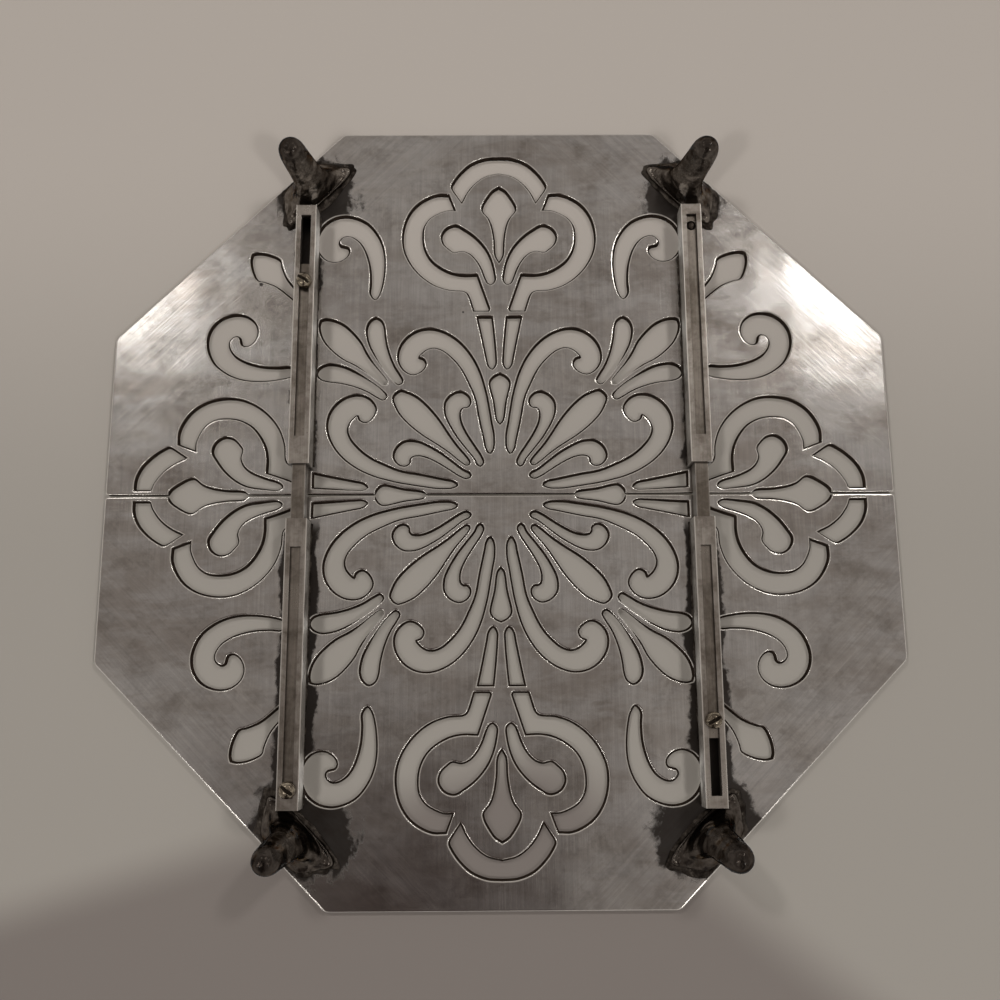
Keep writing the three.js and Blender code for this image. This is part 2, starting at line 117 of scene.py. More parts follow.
def makeCamera(view):
    # The turns are about X, then Y, then Z, and half a turn about X looks straight up
    data = bpy.data.cameras.new("photoCamera")
    data.lens = view["lens"]
    data.sensor_width = view["sensor"]
    data.clip_start = 0.01
    camera = bpy.data.objects.new("photoCamera", data)
    bpy.context.scene.collection.objects.link(camera)
    camera.rotation_mode = "ZYX"
    camera.location = view["position"]
    camera.rotation_euler = (math.pi + view["tilt"], -view["yaw"], -view["roll"])
    bpy.context.scene.camera = camera


makeCamera(photoView)
print("camera placed")


# Shader helpers

class Nodes:
    # Shorthand for building a node tree: each call makes a node, sets its inputs and gives it back.

    def __init__(self, tree):
        self.tree = tree

    def node(self, kind, settings=None, **inputs):
        made = self.tree.nodes.new(kind)
        for key, value in (settings or {}).items():
            setattr(made, key, value)
        for key, value in inputs.items():
            self.feed(made.inputs[key.replace("_", " ")], value)
        return made

    def feed(self, socket, value):
        if isinstance(value, bpy.types.NodeSocket):
            self.tree.links.new(value, socket)
        else:
            socket.default_value = value

    def math(self, operation, a, b=0.5):
        made = self.tree.nodes.new("ShaderNodeMath")
        made.operation = operation
        for socket, value in zip(made.inputs, (a, b)):
            self.feed(socket, value)
        return made.outputs[0]

    def blend(self, share, first, second):
        return self.math("ADD", first, self.math("MULTIPLY", share, self.math("SUBTRACT", second, first)))

    def step(self, value, low, high, lowOut=0.0, highOut=1.0):
        # Smooth step of value from low to high.
        made = self.tree.nodes.new("ShaderNodeMapRange")
        made.interpolation_type = "SMOOTHSTEP"
        for socket, number in zip(made.inputs, (value, low, high, lowOut, highOut)):
            self.feed(socket, number)
        return made.outputs[0]

    def mix(self, factor, a, b, blend="MIX"):
        made = self.tree.nodes.new("ShaderNodeMix")
        made.data_type = "RGBA"
        made.blend_type = blend
        self.feed(made.inputs[0], factor)
        self.feed(made.inputs[6], a)
        self.feed(made.inputs[7], b)
        return made.outputs[2]

    def noise(self, vector, scale, detail=3.0, roughness=0.5, distortion=0.0):
        made = self.tree.nodes.new("ShaderNodeTexNoise")
        self.feed(made.inputs["Vector"], vector)
        made.inputs["Scale"].default_value = scale
        made.inputs["Detail"].default_value = detail
        made.inputs["Roughness"].default_value = roughness
        made.inputs["Distortion"].default_value = distortion
        return made.outputs["Fac"]

    def stretched(self, vector, scale, rotation=(0, 0, 0)):
        made = self.tree.nodes.new("ShaderNodeMapping")
        self.feed(made.inputs["Vector"], vector)
        made.inputs["Scale"].default_value = scale
        made.inputs["Rotation"].default_value = rotation
        return made.outputs[0]

    def scaled(self, vector, scale):
        made = self.node("ShaderNodeVectorMath", {"operation": "SCALE"}, Vector=vector, Scale=scale)
        return made.outputs[0]

    def distance(self, vector, point):
        made = self.tree.nodes.new("ShaderNodeVectorMath")
        made.operation = "DISTANCE"
        self.feed(made.inputs[0], vector)
        self.feed(made.inputs[1], point)
        return made.outputs["Value"]

    def split(self, vector):
        made = self.tree.nodes.new("ShaderNodeSeparateXYZ")
        self.feed(made.inputs[0], vector)
        return made.outputs

    def attribute(self, name):
        made = self.tree.nodes.new("ShaderNodeAttribute")
        made.attribute_name = name
        return made.outputs["Fac"]


def srgb(red, green, blue):
    # A colour as it looks on screen, 0 to 255, turned into the linear one that a socket holds.
    def linear(value):
        value = value / 255
        return value / 12.92 if value <= 0.04045 else ((value + 0.055) / 1.055) ** 2.4
    return (linear(red), linear(green), linear(blue), 1.0)


def newGroup(name, inputs, outputs):
    # A shader node group with its sockets made, ready to be filled
    tree = bpy.data.node_groups.new(name, "ShaderNodeTree")
    for socketName, kind, value in inputs:
        socket = tree.interface.new_socket(socketName, in_out="INPUT", socket_type=kind)
        if value is not None:
            socket.default_value = value
    for socketName, kind in outputs:
        tree.interface.new_socket(socketName, in_out="OUTPUT", socket_type=kind)
    begin = tree.nodes.new("NodeGroupInput")
    end = tree.nodes.new("NodeGroupOutput")
    return tree, Nodes(tree), begin.outputs, end.inputs


def makeBrushing():
    # Fine scratches that run along Y of the vector: long thin noise at two sizes, and a few deeper lines.
    tree, n, given, made = newGroup(
        "brushing",
        [("Vector", "NodeSocketVector", None), ("Fineness", "NodeSocketFloat", 1.0)],
        [("Streaks", "NodeSocketFloat"), ("Deep Lines", "NodeSocketFloat")],
    )
    along = n.scaled(given["Vector"], given["Fineness"])
    fine = n.noise(n.stretched(along, (5200, 150, 5200), (0, 0, 0.03)), 1.0, 3.0, 0.6)
    broad = n.noise(n.stretched(along, (1300, 45, 1300), (0, 0, -0.05)), 1.0, 2.0, 0.55)
    mixed = n.math("ADD", n.math("MULTIPLY", fine, 0.55), n.math("MULTIPLY", broad, 0.45))
    deep = n.noise(n.stretched(along, (2600, 60, 2600), (0, 0, 0.12)), 1.0, 1.0, 0.5)
    tree.links.new(mixed, made["Streaks"])
    tree.links.new(n.step(deep, 0.68, 0.78), made["Deep Lines"])
    return tree


def makeClouds():
    # Tarnish that lies in soft patches: warped noise at two sizes, with a threshold and a softness.
    tree, n, given, made = newGroup(
        "tarnishClouds",
        [("Vector", "NodeSocketVector", None), ("Patch Size", "NodeSocketFloat", 0.03),
         ("Level", "NodeSocketFloat", 0.5), ("Softness", "NodeSocketFloat", 0.2)],
        [("Mask", "NodeSocketFloat"), ("Mottle", "NodeSocketFloat")],
    )
    perPatch = n.math("DIVIDE", 1.0, given["Patch Size"])
    patches = n.scaled(given["Vector"], perPatch)
    big = n.noise(patches, 1.0, 5.0, 0.6, 0.6)
    small = n.noise(patches, 7.0, 4.0, 0.65, 0.4)
    both = n.math("ADD", n.math("MULTIPLY", big, 0.72), n.math("MULTIPLY", small, 0.28))
    low = n.math("SUBTRACT", given["Level"], given["Softness"])
    high = n.math("ADD", given["Level"], given["Softness"])
    tree.links.new(n.step(both, low, high), made["Mask"])
    tree.links.new(both, made["Mottle"])
    return tree


def makeNearPoint():
    # How near the vector is to a point, 1 inside the radius and 0 beyond the radius and the fade.
    tree, n, given, made = newGroup(
        "nearPoint",
        [("Vector", "NodeSocketVector", None), ("Point", "NodeSocketVector", None),
         ("Radius", "NodeSocketFloat", 0.01), ("Fade", "NodeSocketFloat", 0.005)],
        [("Mask", "NodeSocketFloat")],
    )
    away = n.distance(given["Vector"], given["Point"])
    edge = n.math("ADD", given["Radius"], given["Fade"])
    tree.links.new(n.step(away, given["Radius"], edge, 1.0, 0.0), made["Mask"])
    return tree


groups = {"brushing": makeBrushing(), "clouds": makeClouds(), "nearPoint": makeNearPoint()}


class Finish(Nodes):
    # A material with one Principled shader, and the object's own coordinates to place its patterns.

    def __init__(self, name):
        self.material = bpy.data.materials.new(name)
        self.material.use_nodes = True
        super().__init__(self.material.node_tree)
        self.shader = self.tree.nodes["Principled BSDF"]
        self.place = self.node("ShaderNodeTexCoord").outputs["Object"]

    def group(self, name, **inputs):
        made = self.tree.nodes.new("ShaderNodeGroup")
        made.node_tree = groups[name]
        for key, value in inputs.items():
            self.feed(made.inputs[key.replace("_", " ")], value)
        return made.outputs

    def bump(self, height, distance, under=None):
        made = self.tree.nodes.new("ShaderNodeBump")
        made.inputs["Distance"].default_value = distance
        self.feed(made.inputs["Height"], height)
        if under is not None:
            self.feed(made.inputs["Normal"], under)
        return made.outputs[0]

    def cover(self, mask, layer, under):
        # A screen colour over another where the mask is, as thick as the layer's share says
        color, share = layer
        return self.mix(self.math("MULTIPLY", mask, share), under, srgb(*color))

    def sum(self, base, *parts):
        # A base number plus each mask times its own share
        for mask, share in parts:
            base = self.math("ADD", base, self.math("MULTIPLY", mask, share))
        return base

    def coat(self, color, roughness, normal=None, metallic=1.0):
        self.feed(self.shader.inputs["Base Color"], color)
        self.feed(self.shader.inputs["Roughness"], roughness)
        self.feed(self.shader.inputs["Metallic"], metallic)
        if normal is not None:
            self.feed(self.shader.inputs["Normal"], normal)
        return self.material


# Pierced plate. The outlines are the ones of the part: a is across from the middle line of an arm and
# b is out along it, in millimetres.
plate = {
    "half": 110.3,
    "flatHalf": 46.2,
    "under": 21.0,
    "thick": 1.5,
    "cornerRadius": 2.5,
    "seamHalf": 0.3,
    "seamCornerRadius": 1.1,
    "endArcLand": 1.6,
    "sideDropTail": 1.9,
    "sideDropNeck": 8.0,
    "spacing": 0.5,  # between the points of a worked outline
    "edgeRound": 0.15,
    "edgeBand": 0.2,  # flat strip beside the rounded edge, which keeps its shading crisp
    "sawLean": 0.54,  # how far a sawn opening is wider at the under face
    "sawDepth": 0.9,
    "seamLean": 0.1,  # share of that lean along the seam
    "tuck": 0.28,  # most that an opening is made narrower beside a thin bridge
    "thinnest": 0.2,  # least flat metal left between two openings
    "wallRows": (3, 7),  # rows of the edge's profile that are the sawn wall
}

outlines = {
    "cArc": [
        [(15, 90.6), (18.2, 90.6), (21.5, 89.3), (24.6, 86.9), (26.9, 83.2), (28, 78.3), (27.7, 73.9),
         (26, 69.7), (23, 65.8), (19, 62.8), (14.5, 61.2), (10.3, 60.8), (9.1, 60), (7.2, 54.7)],
        [(7.2, 54.7), (3.3, 54.7)],
        [(3.1, 55.1), (6.6, 65.4)],
        [(6.6, 65.4), (10.5, 65.3), (14, 66), (17.5, 67.8), (20.3, 70.3), (22.1, 73.8), (22.65, 77.5),
         (22.2, 81), (20.4, 83.7), (17.8, 85.3), (15.2, 86.2), (13.3, 86.2)],
    ],
    "commaDrop": [
        [(2.4, 62.9), (1.5, 63.9), (1.6, 66), (2.5, 70), (4.2, 73.7), (7, 77.1), (10.2, 79.6), (12.7, 80.9),
         (15.2, 80.1), (16.6, 77.9), (16.2, 75.6), (14.5, 73.8), (13.2, 72.95), (10.8, 73.35), (8.4, 72.4),
         (6.4, 70.2), (5, 67.6), (3.9, 64.6), (3.3, 63.4), (2.4, 62.9)],
    ],
    "wedge": [
        [(2.35, 52.4), (6.1, 52.4)],
        [(6.1, 52.4), (4.95, 47), (3.75, 41), (3.15, 38.2), (2.2, 37.1), (1.35, 38.3), (1.35, 41), (1.8, 47),
         (2.35, 52.4)],
    ],
    "longScroll": [
        [(23.5, 40.4), (22.3, 42.1), (20.6, 43.2), (18.7, 43.5), (16.3, 42.7), (13.6, 40.5), (11.2, 37.7),
         (9.2, 34.1), (7.6, 30), (6.3, 25.5), (5.3, 20.7), (4.2, 15.6), (3.8, 13.6), (2.95, 12.2),
         (2.15, 13.5), (1.95, 16.5), (2.5, 22), (3.6, 28), (5.3, 34.2), (7.7, 39.7), (11.2, 44.4),
         (15.2, 47.4), (19.5, 48.8), (23.4, 48.3), (26.6, 46.2), (28.6, 43), (28.9, 39.6), (27.5, 36.9),
         (25, 35.5), (22.7, 36.4), (21.4, 38.1), (22, 39.7), (23.5, 40.4)],
    ],
    "plume": [
        [(5.6, 8.4), (4.95, 9.4), (5.6, 11.2), (7.4, 14), (9.6, 17.5), (11.1, 20.6), (11.6, 23), (11.3, 24.9),
         (10.4, 25.6), (9.3, 25.6), (8.4, 26.7), (8.8, 28.6), (11, 29.9), (13.6, 29.1), (15.3, 27),
         (15.4, 24), (14.3, 20.8), (12.3, 17), (9.8, 13.6), (7.3, 10.4), (6.5, 8.9), (5.6, 8.4)],
    ],
    "petal": [
        [(28.9, 32.3), (28, 33.2), (28.7, 34.8), (30.3, 37.4), (31.6, 40.3), (32.6, 43.5), (33.2, 46.5),
         (33.6, 49.6), (34.3, 51.3), (35.8, 52.2), (37.3, 51.2), (38.1, 49.2), (37.9, 46.6), (36.8, 42.8),
         (34.9, 39), (32.6, 35.4), (30.7, 33.3), (28.9, 32.3)],
    ],
    "commaScroll": [
        [(36.1, 58.4), (35, 59.9), (34.2, 63), (33.7, 67.5), (33.8, 71.5), (34.6, 75.2), (36.2, 78.5),
         (38.7, 81.5), (42, 83.3), (45.3, 83.9), (48.6, 83.2), (51.3, 81.2), (52.9, 78.2), (53.2, 75),
         (52.4, 72.6), (50.6, 70.7), (48.3, 70), (46.2, 70.5), (44.7, 71.7), (44.15, 73), (44.5, 74),
         (45.6, 74.35), (46.7, 74.7), (47.25, 75.9), (46.6, 77.3), (45.3, 78.1), (43.3, 77.9), (41, 76.4),
         (39.3, 73.9), (38.1, 70.7), (37.4, 67.3), (37.2, 63), (37.3, 60), (36.1, 58.4)],
    ],
}

armHalves = {
    "endArcOuter": [(0, 102.5), (4, 102.2), (8, 100.6), (11, 97.9), (12.9, 95.3), (13.75, 93.4),
                    (13.3, 92.3)],
    "endArcInner": [(11, 88.8), (9.6, 91.7), (7.2, 94.8), (4, 97.1), (0, 98.1)],
    "ogee": [(0, 93), (1.6, 92), (3.3, 89.7), (4.5, 87.4), (4.7, 86), (2.9, 83.5), (1.9, 80.8), (1.2, 76.5),
             (0.9, 71.8), (0, 69.9)],
    "smallTear": [(0, 35.2), (1.3, 34.6), (2.4, 33.6), (2.75, 32.6), (1.75, 27.5), (0.9, 21.6), (0, 20.5)],
}
diagonalHalves = {
    "innerTear": [(29.55, 29.55), (28.4, 30.25), (26.6, 29.8), (24, 28.5), (21.2, 26.1), (18.5, 23),
                  (15.6, 19), (12.4, 14.6), (9.4, 11), (8.5, 9.5), (8.75, 8.75)],
    "outerTear": [(51.5, 51.5), (50.3, 51.8), (47.8, 51.4), (45, 50), (42.4, 47.6), (40.3, 45), (38.5, 42),
                  (36.3, 39), (33.8, 36.1), (32, 33.7), (31.8, 32.7), (32.15, 32.15)],
    "cornerDrop": [(72, 72), (70.8, 72.3), (67.8, 71.9), (64.3, 70.2), (63.9, 68.6), (62.3, 64.7),
                   (58.8, 60.3), (56.7, 57.7), (56.7, 56.7)],
}


def smoothRun(points, steps=12):
    # A centripetal Catmull-Rom curve: between two points it is the cubic whose slopes come from both
    # neighbours, weighted by the square roots of the distances.
    p = np.array(points, dtype=float)
    if len(p) < 3:
        return p
    closed = bool(np.all(p[0] == p[-1]))
    if closed:
        p = p[:-1]
        before, start, end, after = (np.roll(p, shift, axis=0) for shift in (1, 0, -1, -2))
    else:
        longer = np.vstack([2 * p[0] - p[1], p, 2 * p[-1] - p[-2]])
        before, start, end, after = longer[:-3], longer[1:-2], longer[2:-1], longer[3:]
    root = lambda a, b: np.sqrt(np.linalg.norm(b - a, axis=1))[:, None]
    d0, d1, d2 = root(before, start), root(start, end), root(end, after)
    slope1 = ((start - before) / d0 - (end - before) / (d0 + d1) + (end - start) / d1) * d1
    slope2 = ((end - start) / d1 - (after - start) / (d1 + d2) + (after - end) / d2) * d1
    t = (np.arange(steps) / steps)[None, :, None]
    start, end, slope1, slope2 = (value[:, None, :] for value in (start, end, slope1, slope2))
    curve = (start * (2 * t**3 - 3 * t**2 + 1) + end * (3 * t**2 - 2 * t**3)
             + slope1 * (t**3 - 2 * t**2 + t) + slope2 * (t**3 - t**2)).reshape(-1, 2)
    return np.vstack([curve, p[:1] if closed else p[-1:]])


def evenly(run, spacing):
    # The run's points placed at even distances along it, ends kept.
    length = np.concatenate([[0], np.cumsum(np.linalg.norm(np.diff(run, axis=0), axis=1))])
    count = max(2, int(round(length[-1] / spacing)) + 1)
    at = np.linspace(0, length[-1], count)
    return np.column_stack([np.interp(at, length, run[:, 0]), np.interp(at, length, run[:, 1])])


def closeLoop(runs, spacing):
    # Runs joined into one closed loop with even points, and no point twice.
    loop = np.vstack([evenly(run, spacing) for run in runs])
    apart = np.linalg.norm(loop - np.roll(loop, 1, axis=0), axis=1)
    return loop[apart > 0.02]


def drawHalf(style):
    # Outline and holes of the half plate on the +Y side.
    swap = lambda points: points[:, ::-1]
    flip = lambda points: points * (-1, 1)
    spacing = style["spacing"]
    holes = []
    for name, runs in outlines.items():
        curves = [smoothRun(run) for run in runs]
        tailEnd = runs[0][0][1]
        sideCurves = []
        for curve in curves:
            shift = np.zeros(len(curve))
            if name == "commaDrop":
                fromTail = (curve[:, 1] - tailEnd) / style["sideDropNeck"]
                shift = style["sideDropTail"] * np.maximum(0, 1 - fromTail)
            sideCurves.append(swap(curve - np.column_stack([shift * 0, shift])))
        for group in (curves, sideCurves):
            holes.append(closeLoop(group, spacing))
            holes.append(closeLoop([flip(curve) for curve in group], spacing))
    for half in diagonalHalves.values():
        curve = smoothRun(half)
        loop = [curve, swap(curve)[::-1]]
        holes.append(closeLoop(loop, spacing))
        holes.append(closeLoop([flip(run) for run in loop], spacing))
    outer, inner = smoothRun(armHalves["endArcOuter"]), smoothRun(armHalves["endArcInner"])
    holes.append(closeLoop([outer, inner, flip(inner)[::-1], flip(outer)[::-1]], spacing))
    for name in ("ogee", "smallTear"):
        curve = smoothRun(armHalves[name])
        holes.append(closeLoop([curve, flip(curve)[::-1]], spacing))
    land = style["endArcLand"]
    top, sole = np.array([[land, outer[0, 1]]]), np.array([[land, inner[-1, 1]]])
    split = [np.vstack([top, outer[outer[:, 0] > land]]), np.vstack([inner[inner[:, 0] > land], sole]),
             np.vstack([sole, top])]
    holes.append(closeLoop([swap(run) for run in split], spacing))
    holes.append(closeLoop([swap(run) * (-1, 1) for run in split], spacing))
    return halfOutline(style), holes


def roundedCorner(before, corner, after, radius, steps=8):
    # A quadratic curve from one side to the other: the corner has the weight 2t(1-t), the ends the rest
    before, corner, after = (np.array(point, dtype=float) for point in (before, corner, after))
    toBefore = (before - corner) / np.linalg.norm(before - corner)
    toAfter = (after - corner) / np.linalg.norm(after - corner)
    reach = radius / math.tan(math.acos(toBefore @ toAfter) / 2)
    t = np.linspace(0, 1, steps)[:, None]
    start, end = corner + toBefore * reach, corner + toAfter * reach
    return start * (1 - t) ** 2 + corner * 2 * t * (1 - t) + end * t**2


def halfOutline(style):
    # The half plate's own edge, with the openings that the seam cuts through.
    half, flat, seam = style["half"], style["flatHalf"], style["seamHalf"]
    corners = [(-half, seam), (half, seam), (half, flat), (flat, half), (-flat, half), (-half, flat)]
    arcs = [roundedCorner(corners[i - 1], corners[i], corners[(i + 1) % 6],
                          style["seamCornerRadius"] if i < 2 else style["cornerRadius"]) for i in range(6)]

    def notch(name):
        # The curve's part beyond the seam's edge, turned to lie along X, from the middle outwards.
        curve = smoothRun(armHalves[name])
        inside = np.flatnonzero(curve[:, 0] > seam)
        first, last = inside[0], inside[-1]
        x = curve[:, 0]
        share = lambda i, j: curve[i] + (curve[j] - curve[i]) * (seam - x[i]) / (x[j] - x[i])
        cut = np.vstack([share(first - 1, first), curve[first:last + 1], share(last + 1, last)])
        return cut[::-1, ::-1]

    tear, ogee = notch("smallTear"), notch("ogee")
    mirror = lambda points: points[::-1] * (-1, 1)
    stops = [arcs[0], mirror(ogee), mirror(tear), tear, ogee, *arcs[1:], arcs[0][:1]]
    runs = []
    for run, following in zip(stops, stops[1:] + [None]):
        runs.append(run)
        if following is not None:
            runs.append(np.vstack([run[-1], following[0]]))
    return closeLoop(runs, style["spacing"])


def signedArea(loop):
    # Half the sum of x times the next y, less the next x times y: above 0 when the loop runs anticlockwise
    x, y = loop.T
    return 0.5 * np.sum(x * np.roll(y, -1) - np.roll(x, -1) * y)


def sawnShare(loop, style):
    # How much of the sawn lean each point has: all in the openings, little at the seam, none at the plate's
    # outer border.
    x, y = np.abs(loop).T
    fromCut = (style["half"] + style["flatHalf"] - x - y) / 1.414
    inward = np.minimum(style["half"] - np.maximum(x, y), fromCut)
    fromSeam = np.clip((y - style["seamHalf"]) / 0.6, style["seamLean"], 1)
    return np.clip((inward - 0.3) / 0.6, 0, 1) * fromSeam


def bridgeRoom(loops, style):
    # How much of the full lean fits on each point: 1 or more where the next loop is far, and less where
    # only a thin bridge of metal parts the two.
    shares = []
    fixed = 2 * (style["edgeRound"] + style["edgeBand"]) + style["thinnest"]
    for number, loop in enumerate(loops):
        others = np.vstack(loops[:number] + loops[number + 1:])
        gap = np.concatenate([np.linalg.norm(part[:, None] - others[None], axis=2).min(axis=1)
                              for part in np.array_split(loop, max(1, len(loop) // 200))])
        share = np.clip((gap - fixed) / (2 * style["sawLean"]), -0.5, 1)
        spread = np.stack([np.roll(share, shift) for shift in range(-3, 4)])
        lowest = spread.min(axis=0)
        shares.append(np.mean([np.roll(lowest, shift) for shift in range(-3, 4)], axis=0))
    return shares


def insetLoop(loop, distance):
    # Moves each point into the metal, which lies left of the loop, by its own distance along the mean of
    # its two sides' normals. Where a tight bend would fold over, the points are drawn together.
    ahead = np.roll(loop, -1, axis=0) - loop
    ahead /= np.linalg.norm(ahead, axis=1)[:, None]
    normal = np.column_stack([-ahead[:, 1], ahead[:, 0]])
    both = normal + np.roll(normal, 1, axis=0)
    length = np.linalg.norm(both, axis=1)[:, None]
    both = both / np.maximum(length, 0.2)
    lean = np.maximum((both * normal).sum(axis=1), 0.6)[:, None]
    moved = loop + both / lean * distance[:, None]
    for _ in range(6):
        step = np.roll(moved, -1, axis=0) - moved
        folded = (step * ahead).sum(axis=1) <= 0
        if not folded.any():
            break
        near = folded | np.roll(folded, 1)
        middle = (np.roll(moved, 1, axis=0) + np.roll(moved, -1, axis=0)) / 2
        moved[near] = middle[near]
    return moved


def insideLoops(points, loops):
    # Even-odd test: a point is in the metal if a line to its right crosses the loops an odd number of
    # times.
    start = np.vstack(loops)
    end = np.vstack([np.roll(loop, -1, axis=0) for loop in loops])
    inside = np.zeros(len(points), dtype=bool)
    for chunk in np.array_split(np.arange(len(points)), max(1, len(points) // 1500)):
        x, y = points[chunk, 0][:, None], points[chunk, 1][:, None]
        spans = (start[None, :, 1] > y) != (end[None, :, 1] > y)
        rise = np.where(end[:, 1] == start[:, 1], 1e-12, end[:, 1] - start[:, 1])
        cross = start[:, 0] + (y - start[:, 1]) * (end[:, 0] - start[:, 0]) / rise
        inside[chunk] = (spans & (x < cross)).sum(axis=1) % 2 == 1
    return inside


def fillBetween(loops, numbers):
    # Triangles that fill the metal between flat loops, as numbers of the loops' own points.
    flat = np.vstack(loops)
    sizes = np.array([len(loop) for loop in loops])
    first = np.repeat(np.cumsum(sizes) - sizes, sizes)
    own = np.arange(len(flat)) - first
    following = first + (own + 1) % np.repeat(sizes, sizes)
    edges = np.column_stack([first + own, following]).tolist()
    out = delaunay_2d_cdt([Vector(point) for point in flat.tolist()], edges, [], 0, 1e-7)
    source = np.array([origin[0] if origin else -1 for origin in out[3]])
    triangles = source[np.array(out[2])]
    triangles = triangles[(triangles >= 0).all(axis=1)]
    metal = insideLoops(flat[triangles].mean(axis=1), loops)
    return numbers[triangles[metal]]


def makePlate(name, turn, body, material, style):
    # A pierced half plate. Each edge is a profile carried round its loop: a flat band, a small rounded
    # corner, the sawn wall that leans back and then stands upright, and the top's corner and band. The flat
    # faces are filled between the bands.
    outline, holes = drawHalf(style)
    outline = outline if signedArea(outline) > 0 else outline[::-1]
    loops = [outline] + [hole if signedArea(hole) < 0 else hole[::-1] for hole in holes]
    loops = [loop * turn for loop in loops]
    r, band, depth = style["edgeRound"], style["edgeBand"], style["sawDepth"]
    bottom, top = style["under"], style["under"] + style["thick"]
    # inset, share of the lean, height, rubbed rim and painted highlight
    profile = [
        (r + band, 1, bottom, 0),
        (r, 1, bottom + 0.03, 0.7),
        (0.35 * r, 1, bottom + 0.35 * r, 1),
        (0, 0.97, bottom + r, 0.7),
        (0, 0.86, bottom + r + 0.05, 0),
        (0, 0.3, bottom + 0.6 * depth, 0),
        (0, 0, bottom + depth, 0),
        (0, 0, top - r, 0),
        (0.3 * r, 0, top - 0.3 * r, 1),
        (r, 0, top, 0.6),
        (r + band, 0, top, 0),
    ]
    sawn = [sawnShare(loop, style) for loop in loops]
    rooms = bridgeRoom(loops, style)
    # where a bridge is thin, the opening's whole edge moves in a little, which makes room for the lean
    tucks = [np.minimum(style["tuck"], (1 - room) * style["sawLean"]) * share
             for room, share in zip(rooms, sawn)]
    shares = [share * np.clip(room + tuck / style["sawLean"], 0, 1)
              for share, room, tuck in zip(sawn, rooms, tucks)]
    bands = [np.stack([np.column_stack([insetLoop(loop, inset - tuck + style["sawLean"] * lean * share),
                                        np.full(len(loop), z)]) for inset, lean, z, _ in profile])
             for loop, share, tuck in zip(loops, shares, tucks)]
    faces, points, rimsWearAndSheen = [], [], []
    firsts = []
    count = 0
    for grid in bands:
        rows, columns = grid.shape[:2]
        points.append(grid.reshape(-1, 3))
        faces.append(gridFaces(rows, columns) + count)
        rimsWearAndSheen.append(np.repeat([row[3] for row in profile], columns))
        firsts.append((count, columns, rows))
        count += rows * columns
    points = np.vstack(points)
    under = fillBetween([points[first:first + columns, :2] for first, columns, _ in firsts],
                        np.concatenate([np.arange(first, first + columns) for first, columns, _ in firsts]))
    over = fillBetween([points[first + (rows - 1) * columns:first + rows * columns, :2]
                        for first, columns, rows in firsts],
                       np.concatenate([np.arange(first + (rows - 1) * columns, first + rows * columns)
                                       for first, columns, rows in firsts]))
    sides = np.vstack(faces).tolist()
    allFaces = [*sides, *under[:, ::-1].tolist(), *over.tolist()]
    piece = newPiece(name, points, allFaces, body, material)
    smooth = np.arange(len(allFaces)) < len(sides)
    piece.data.polygons.foreach_set("use_smooth", smooth)
    piece.data.materials.append(sawnMetal)
    slots = np.zeros(len(allFaces), dtype=np.int32)
    rowCount = len(profile)
    start = 0
    for share, loop in zip(shares, loops):
        size = (rowCount - 1) * len(share)
        isSawn = sawnShare(loop, style) > 0.04
        dark = np.zeros((rowCount - 1, len(share)), dtype=np.int32)
        dark[style["wallRows"][0]:style["wallRows"][1]] = isSawn
        slots[start:start + size] = dark.ravel()
        start += size
    piece.data.polygons.foreach_set("material_index", slots)
    # the rounded edges' rubbed rims, which the finish brightens further as a painted highlight
    paintAttribute(piece, "rim", np.concatenate(rimsWearAndSheen))
    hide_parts(name.replace("Plate", "_plate"))
    print(name, len(points), "points", len(allFaces), "faces")
    return piece


# the worn silver's screen colours, and how thickly each lies over the ones before it
silverLook = {
    "clean": (192, 188, 183),
    "dull": (160, 153, 147),
    "spot": ((122, 114, 106), 0.46),
    "smudge": ((210, 210, 210), 0.42),
    "scratch": ((218, 215, 210), 0.22),
    "stain": (43, 37, 33),
    "stainShare": 0.93,
    "pit": ((38, 33, 29), 0.85),
    # rubbed rims, made brighter still as a painted highlight along the edges
    "rim": ((238, 234, 227), 0.85),
    "streakTone": (0.87, 1.07),
    "corner": (0.128, 0.152),  # from here outwards the rubbing turns to run along the cut corner
    "rough": 0.15,
    "roughByCloud": 0.05,
    "roughBySmudge": 0.06,
    "roughByStain": 0.22,
    "waveScale": 26.0,
    "waveDepth": 0.0006,
    "streakDepth": 0.000016,
}
# small pits in the underside: x, y and radius
pits = [(-69.3, -62.8, 0.55), (-10.5, -54.0, 0.3), (21.4, 47.0, 0.28), (-83.0, 21.0, 0.25),
        (72.6, 88.2, 0.3)]


